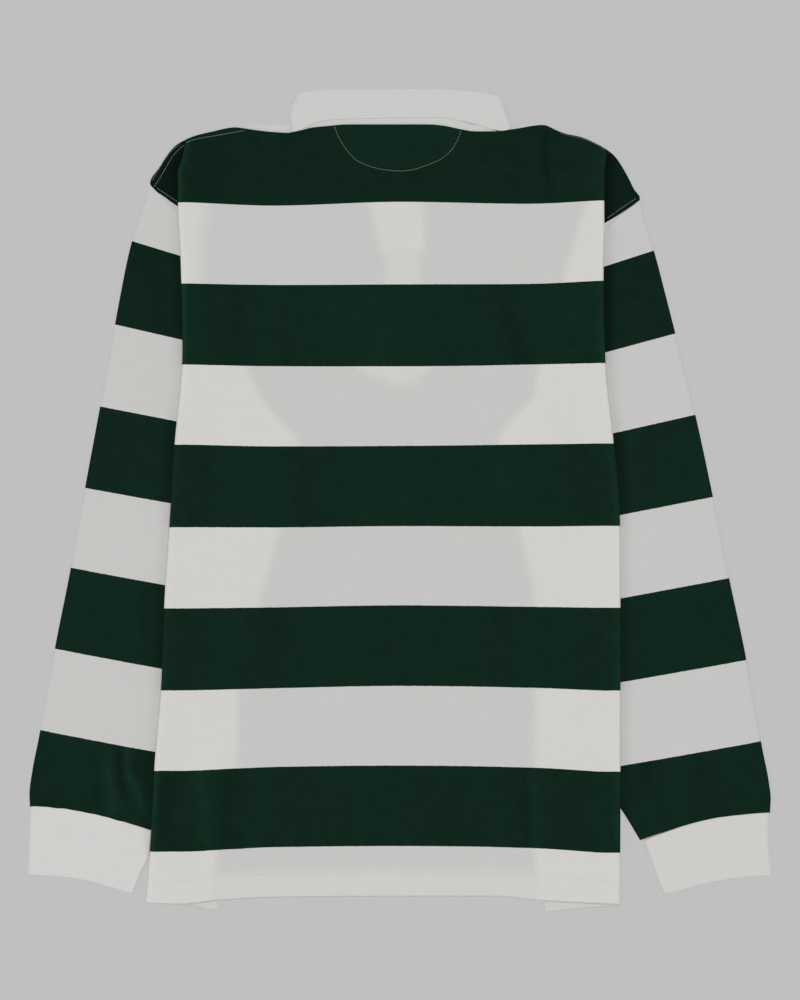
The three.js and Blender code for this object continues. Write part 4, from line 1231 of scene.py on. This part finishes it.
def collar_stand():
    """The neck band: the strip under the back leaf, and the arc round the front's neckline."""
    left, right = NECK["x"] - NECK["half_width"], NECK["x"] + NECK["half_width"]
    x = np.linspace(left, right, 61) + np.zeros((9, 1))
    share = np.linspace(0, 1, 9)[:, None]
    y = mix(fold_y(x) - STAND_INSET, shoulder_y(x) + STAND_OVERLAP, share)
    edge = rounded((1 - share) * 30, 1.5)
    strip = slab(x, y, STAND_TOP - 0.6 * (1 - edge), STAND_MID + 0 * x, ROUND_RIM)
    turn = np.linspace(math.pi, 2 * math.pi, 49)
    across = np.linspace(-NECK["stand_depth"], 0, 5)[:, None]
    x = NECK["x"] + (NECK["half_width"] + across) * np.cos(turn)
    y = NECK["y"] + (NECK["depth"] + across) * np.sin(turn)
    arc = slab(x, y, STAND_LOW + CLOTH + 0 * x, STAND_LOW + 0 * x)
    points, faces = join_meshes([strip, arc])
    made = mesh_object("neck_band", points, faces, points[:, :2])
    return dress(made, "collar_stand", STAND_CLOTH)


# ---------------- stitching


def smooth_path(corners, step):
    """Evenly spaced points along a smooth line through some corners."""
    corners = np.array(corners, float)
    reach = distances(corners)
    fine = np.linspace(0, reach[-1], 400)
    line = np.column_stack([through({"s": reach, "v": corners[:, k]}, "s", "v")(fine) for k in (0, 1)])
    length = distances(line)
    at = np.arange(step / 2, length[-1], step)
    return np.column_stack([np.interp(at, length, line[:, k]) for k in (0, 1)])


# Rings of a stitch: how far along it, and how thick, as shares of its length and width.
STITCH_SHAPE = ((-0.5, 0.0), (-0.4, 0.7), (-0.15, 1.0), (0.15, 1.0), (0.4, 0.7), (0.5, 0.0))
STITCH_SIDES = 6
STITCH_ENDS = np.array([(0, 1, 2, 3), (0, 3, 4, 5)])
STITCH_HEIGHT, STITCH_DIP, STITCH_LEAST, STITCH_FLATNESS = 0.22, 1.3, 0.12, 0.8
# From one stitch to the next, length and width.
SEAM = (2.35, 0.9, 0.55)
NECK_SEAM = (2.35, 1.1, 0.52)
HEM_SEAM = (2.6, 1.7, 0.4)
FINE_SEAM = (1.9, 0.8, 0.4)
THIN_SEAM = (1.9, 0.8, 0.28)


def stitch_faces():
    last = (len(STITCH_SHAPE) - 1) * STITCH_SIDES
    sides = [ring_faces(i, i + STITCH_SIDES, STITCH_SIDES) for i in range(0, last, STITCH_SIDES)]
    return np.concatenate([*sides, STITCH_ENDS, last + STITCH_ENDS[:, ::-1]])


def stitch_row(corners, height, seam=SEAM):
    """A row of stitches as small pills that dip into the cloth at both ends."""
    pitch, length, width = seam
    points = smooth_path(corners, pitch)
    ahead = np.gradient(points, axis=0)
    ahead /= np.linalg.norm(ahead, axis=1, keepdims=True)
    aside = np.column_stack([-ahead[:, 1], ahead[:, 0]])
    turn = np.linspace(0, 2 * math.pi, STITCH_SIDES, endpoint=False)
    pieces = []
    for point, a, n in zip(points, ahead, aside):
        loops = []
        for along, size in STITCH_SHAPE:
            spot = point + a * along * length
            z = float(height(spot[0], spot[1])) + STITCH_HEIGHT - STITCH_DIP * along**2
            radius = max(size, STITCH_LEAST) * width / 2
            xy = spot + n * radius * np.cos(turn)[:, None]
            loops.append(np.column_stack([xy, z + STITCH_FLATNESS * radius * np.sin(turn)]))
        pieces.append((np.concatenate(loops), stitch_faces()))
    return pieces


def sew(name, material, *rows):
    points, faces = join_meshes([piece for row in rows for piece in row])
    made = mesh_object(name, points, faces, points[:, :2])
    made.data.materials.append(material)
    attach(made, "root")
    return made


HALF_MOON = [
    (-62.4, 351.2), (-58.4, 341.7), (-52.6, 331.8), (-42.8, 320.5), (-34.3, 315.8), (-26.8, 313),
    (-14.6, 310.2), (-0.8, 309.1), (10.8, 310.2), (20.2, 313), (31.5, 317.2), (40.4, 322),
    (48, 329.2), (53.9, 338.8), (57, 348),
]
LEFT_INNER_ROW = [
    (-146.2, 347.3), (-172, 342.6), (-197.9, 337.2), (-206.3, 331.4), (-213.4, 324.3), (-220.5, 312.5),
    (-227, 301.5), (-232, 294),
]
LEFT_OUTER_ROW = [(-206.5, 335.4), (-216, 327.4), (-225.5, 313.7), (-233.7, 300.4)]
LEFT_ARMHOLE = [(-229.3, 293.6), (-221.5, 288.2), (-209.4, 280)]
RIGHT_SHOULDER_ROW = [(150.3, 344.6), (155.3, 343), (169.3, 339.8), (187.3, 332), (193.3, 328)]
RIGHT_ARMHOLE = [(221.5, 283.6), (209.2, 275.4), (199.8, 268.8), (193.8, 264.6)]


def shoulder_surface(tuck):
    """Top of the back up to its folded edge, and of the tucked corner past it."""

    def height(x, y):
        inside = (tuck["body_x"](y) - x) * tuck["side"] > 0.5
        return np.where(inside, back_top(x, y), tuck_top(tuck, x, y))

    return height


def stitching():
    hem_line = [(x, float(hem_y(x)) + HEM_DEPTH - 1.2) for x in np.linspace(-233, 201, 40)]
    left, right = shoulder_surface(LEFT_TUCK), shoulder_surface(RIGHT_TUCK)
    sew("neck_stitching", NECK_THREAD, stitch_row(HALF_MOON, back_top, NECK_SEAM))
    sew("hem_stitching", WHITE_THREAD, stitch_row(hem_line, back_top, HEM_SEAM))
    sew(
        "shoulder_stitching_left",
        THREAD,
        stitch_row(LEFT_INNER_ROW, left),
        stitch_row(LEFT_OUTER_ROW, left, FINE_SEAM),
        stitch_row(LEFT_ARMHOLE, left),
    )
    sew(
        "shoulder_stitching_right",
        THREAD,
        stitch_row(RIGHT_SHOULDER_ROW, right, THIN_SEAM),
        stitch_row(RIGHT_ARMHOLE, right),
    )


# ---------------- floor, light and camera


FLOOR_SIZE = 40
FLOOR_GLOW = 0.449  # most of its brightness is its own, so that shadows on it are faint


def floor():
    bpy.ops.mesh.primitive_plane_add(size=FLOOR_SIZE, location=(0, 0, 0))
    made = bpy.context.object
    made.name = "floor"
    net = Net("floor_grey")
    net.set(base_color=net.blend(net.noise(net.place(), 3, 2), grey(0.098), grey(0.102)), roughness=0.9)
    net.set(emission_color=grey(1), emission_strength=FLOOR_GLOW, specular_ior_level=0.1)
    made.data.materials.append(net.material)


WORLD_LIGHT = 0.16
SOFTBOXES = (  # name, power, angle it fills in degrees, and the direction that it shines from
    ("softbox_above", 1.14, 50, (0.03, 0.06, 1)),
    ("softbox_left", 0.64, 34, (-0.8, 0.08, 0.45)),
    ("softbox_right", 0.48, 34, (0.8, 0.08, 0.45)),
    ("softbox_hem", 0.3, 34, (0, -0.8, 0.45)),
    ("softbox_collar", 0.2, 34, (0, 0.8, 0.45)),
)


def light():
    world = bpy.data.worlds.new("studio")
    world.use_nodes = True
    background = world.node_tree.nodes["Background"]
    background.inputs["Color"].default_value = grey(1)
    background.inputs["Strength"].default_value = WORLD_LIGHT
    bpy.context.scene.world = world
    for name, power, angle, toward in SOFTBOXES:
        lamp = bpy.data.lights.new(name, "SUN")
        lamp.energy = power
        lamp.angle = math.radians(angle)
        made = bpy.data.objects.new(name, lamp)
        made.rotation_euler = Vector(toward).to_track_quat("Z", "Y").to_euler()
        bpy.context.scene.collection.objects.link(made)


CAMERA_X = -0.47
VIEW_HEIGHT = 940  # what the picture spans
VIEW_LEVEL = 5  # at this height above the floor
LENS = 100
SENSOR = 36


def camera():
    lens = bpy.data.cameras.new("camera")
    lens.lens = LENS
    lens.sensor_width = SENSOR
    made = bpy.data.objects.new("camera", lens)
    made.location = (CAMERA_X * MM, 0, VIEW_HEIGHT * MM * LENS / SENSOR + VIEW_LEVEL * MM)
    bpy.context.scene.collection.objects.link(made)
    bpy.context.scene.camera = made


# ---------------- the shirt

bpy.context.scene.view_settings.view_transform = "Standard"
camera()
light()
floor()
back_panel()
front_panel()
tucked_side("tuck_side_left", LEFT_TUCK, LEFT_SLEEVE)
tucked_side("tuck_side_right", RIGHT_TUCK, RIGHT_SLEEVE)
sleeve("sleeve_left", -1, LEFT_SLEEVE, LEFT_BANDS)
sleeve("sleeve_right", 1, RIGHT_SLEEVE, RIGHT_BANDS)
cuff("cuff_left", -1, LEFT_CUFF)
cuff("cuff_right", 1, RIGHT_CUFF)
collar()
collar_stand()
stitching()

finishes = {"placket": placket_cloth()}
finishes.update(dict.fromkeys(("button_1", "button_2", "button_3"), button_rubber()))
for name, material in finishes.items():
    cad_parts[name].data.materials.clear()
    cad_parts[name].data.materials.append(material)
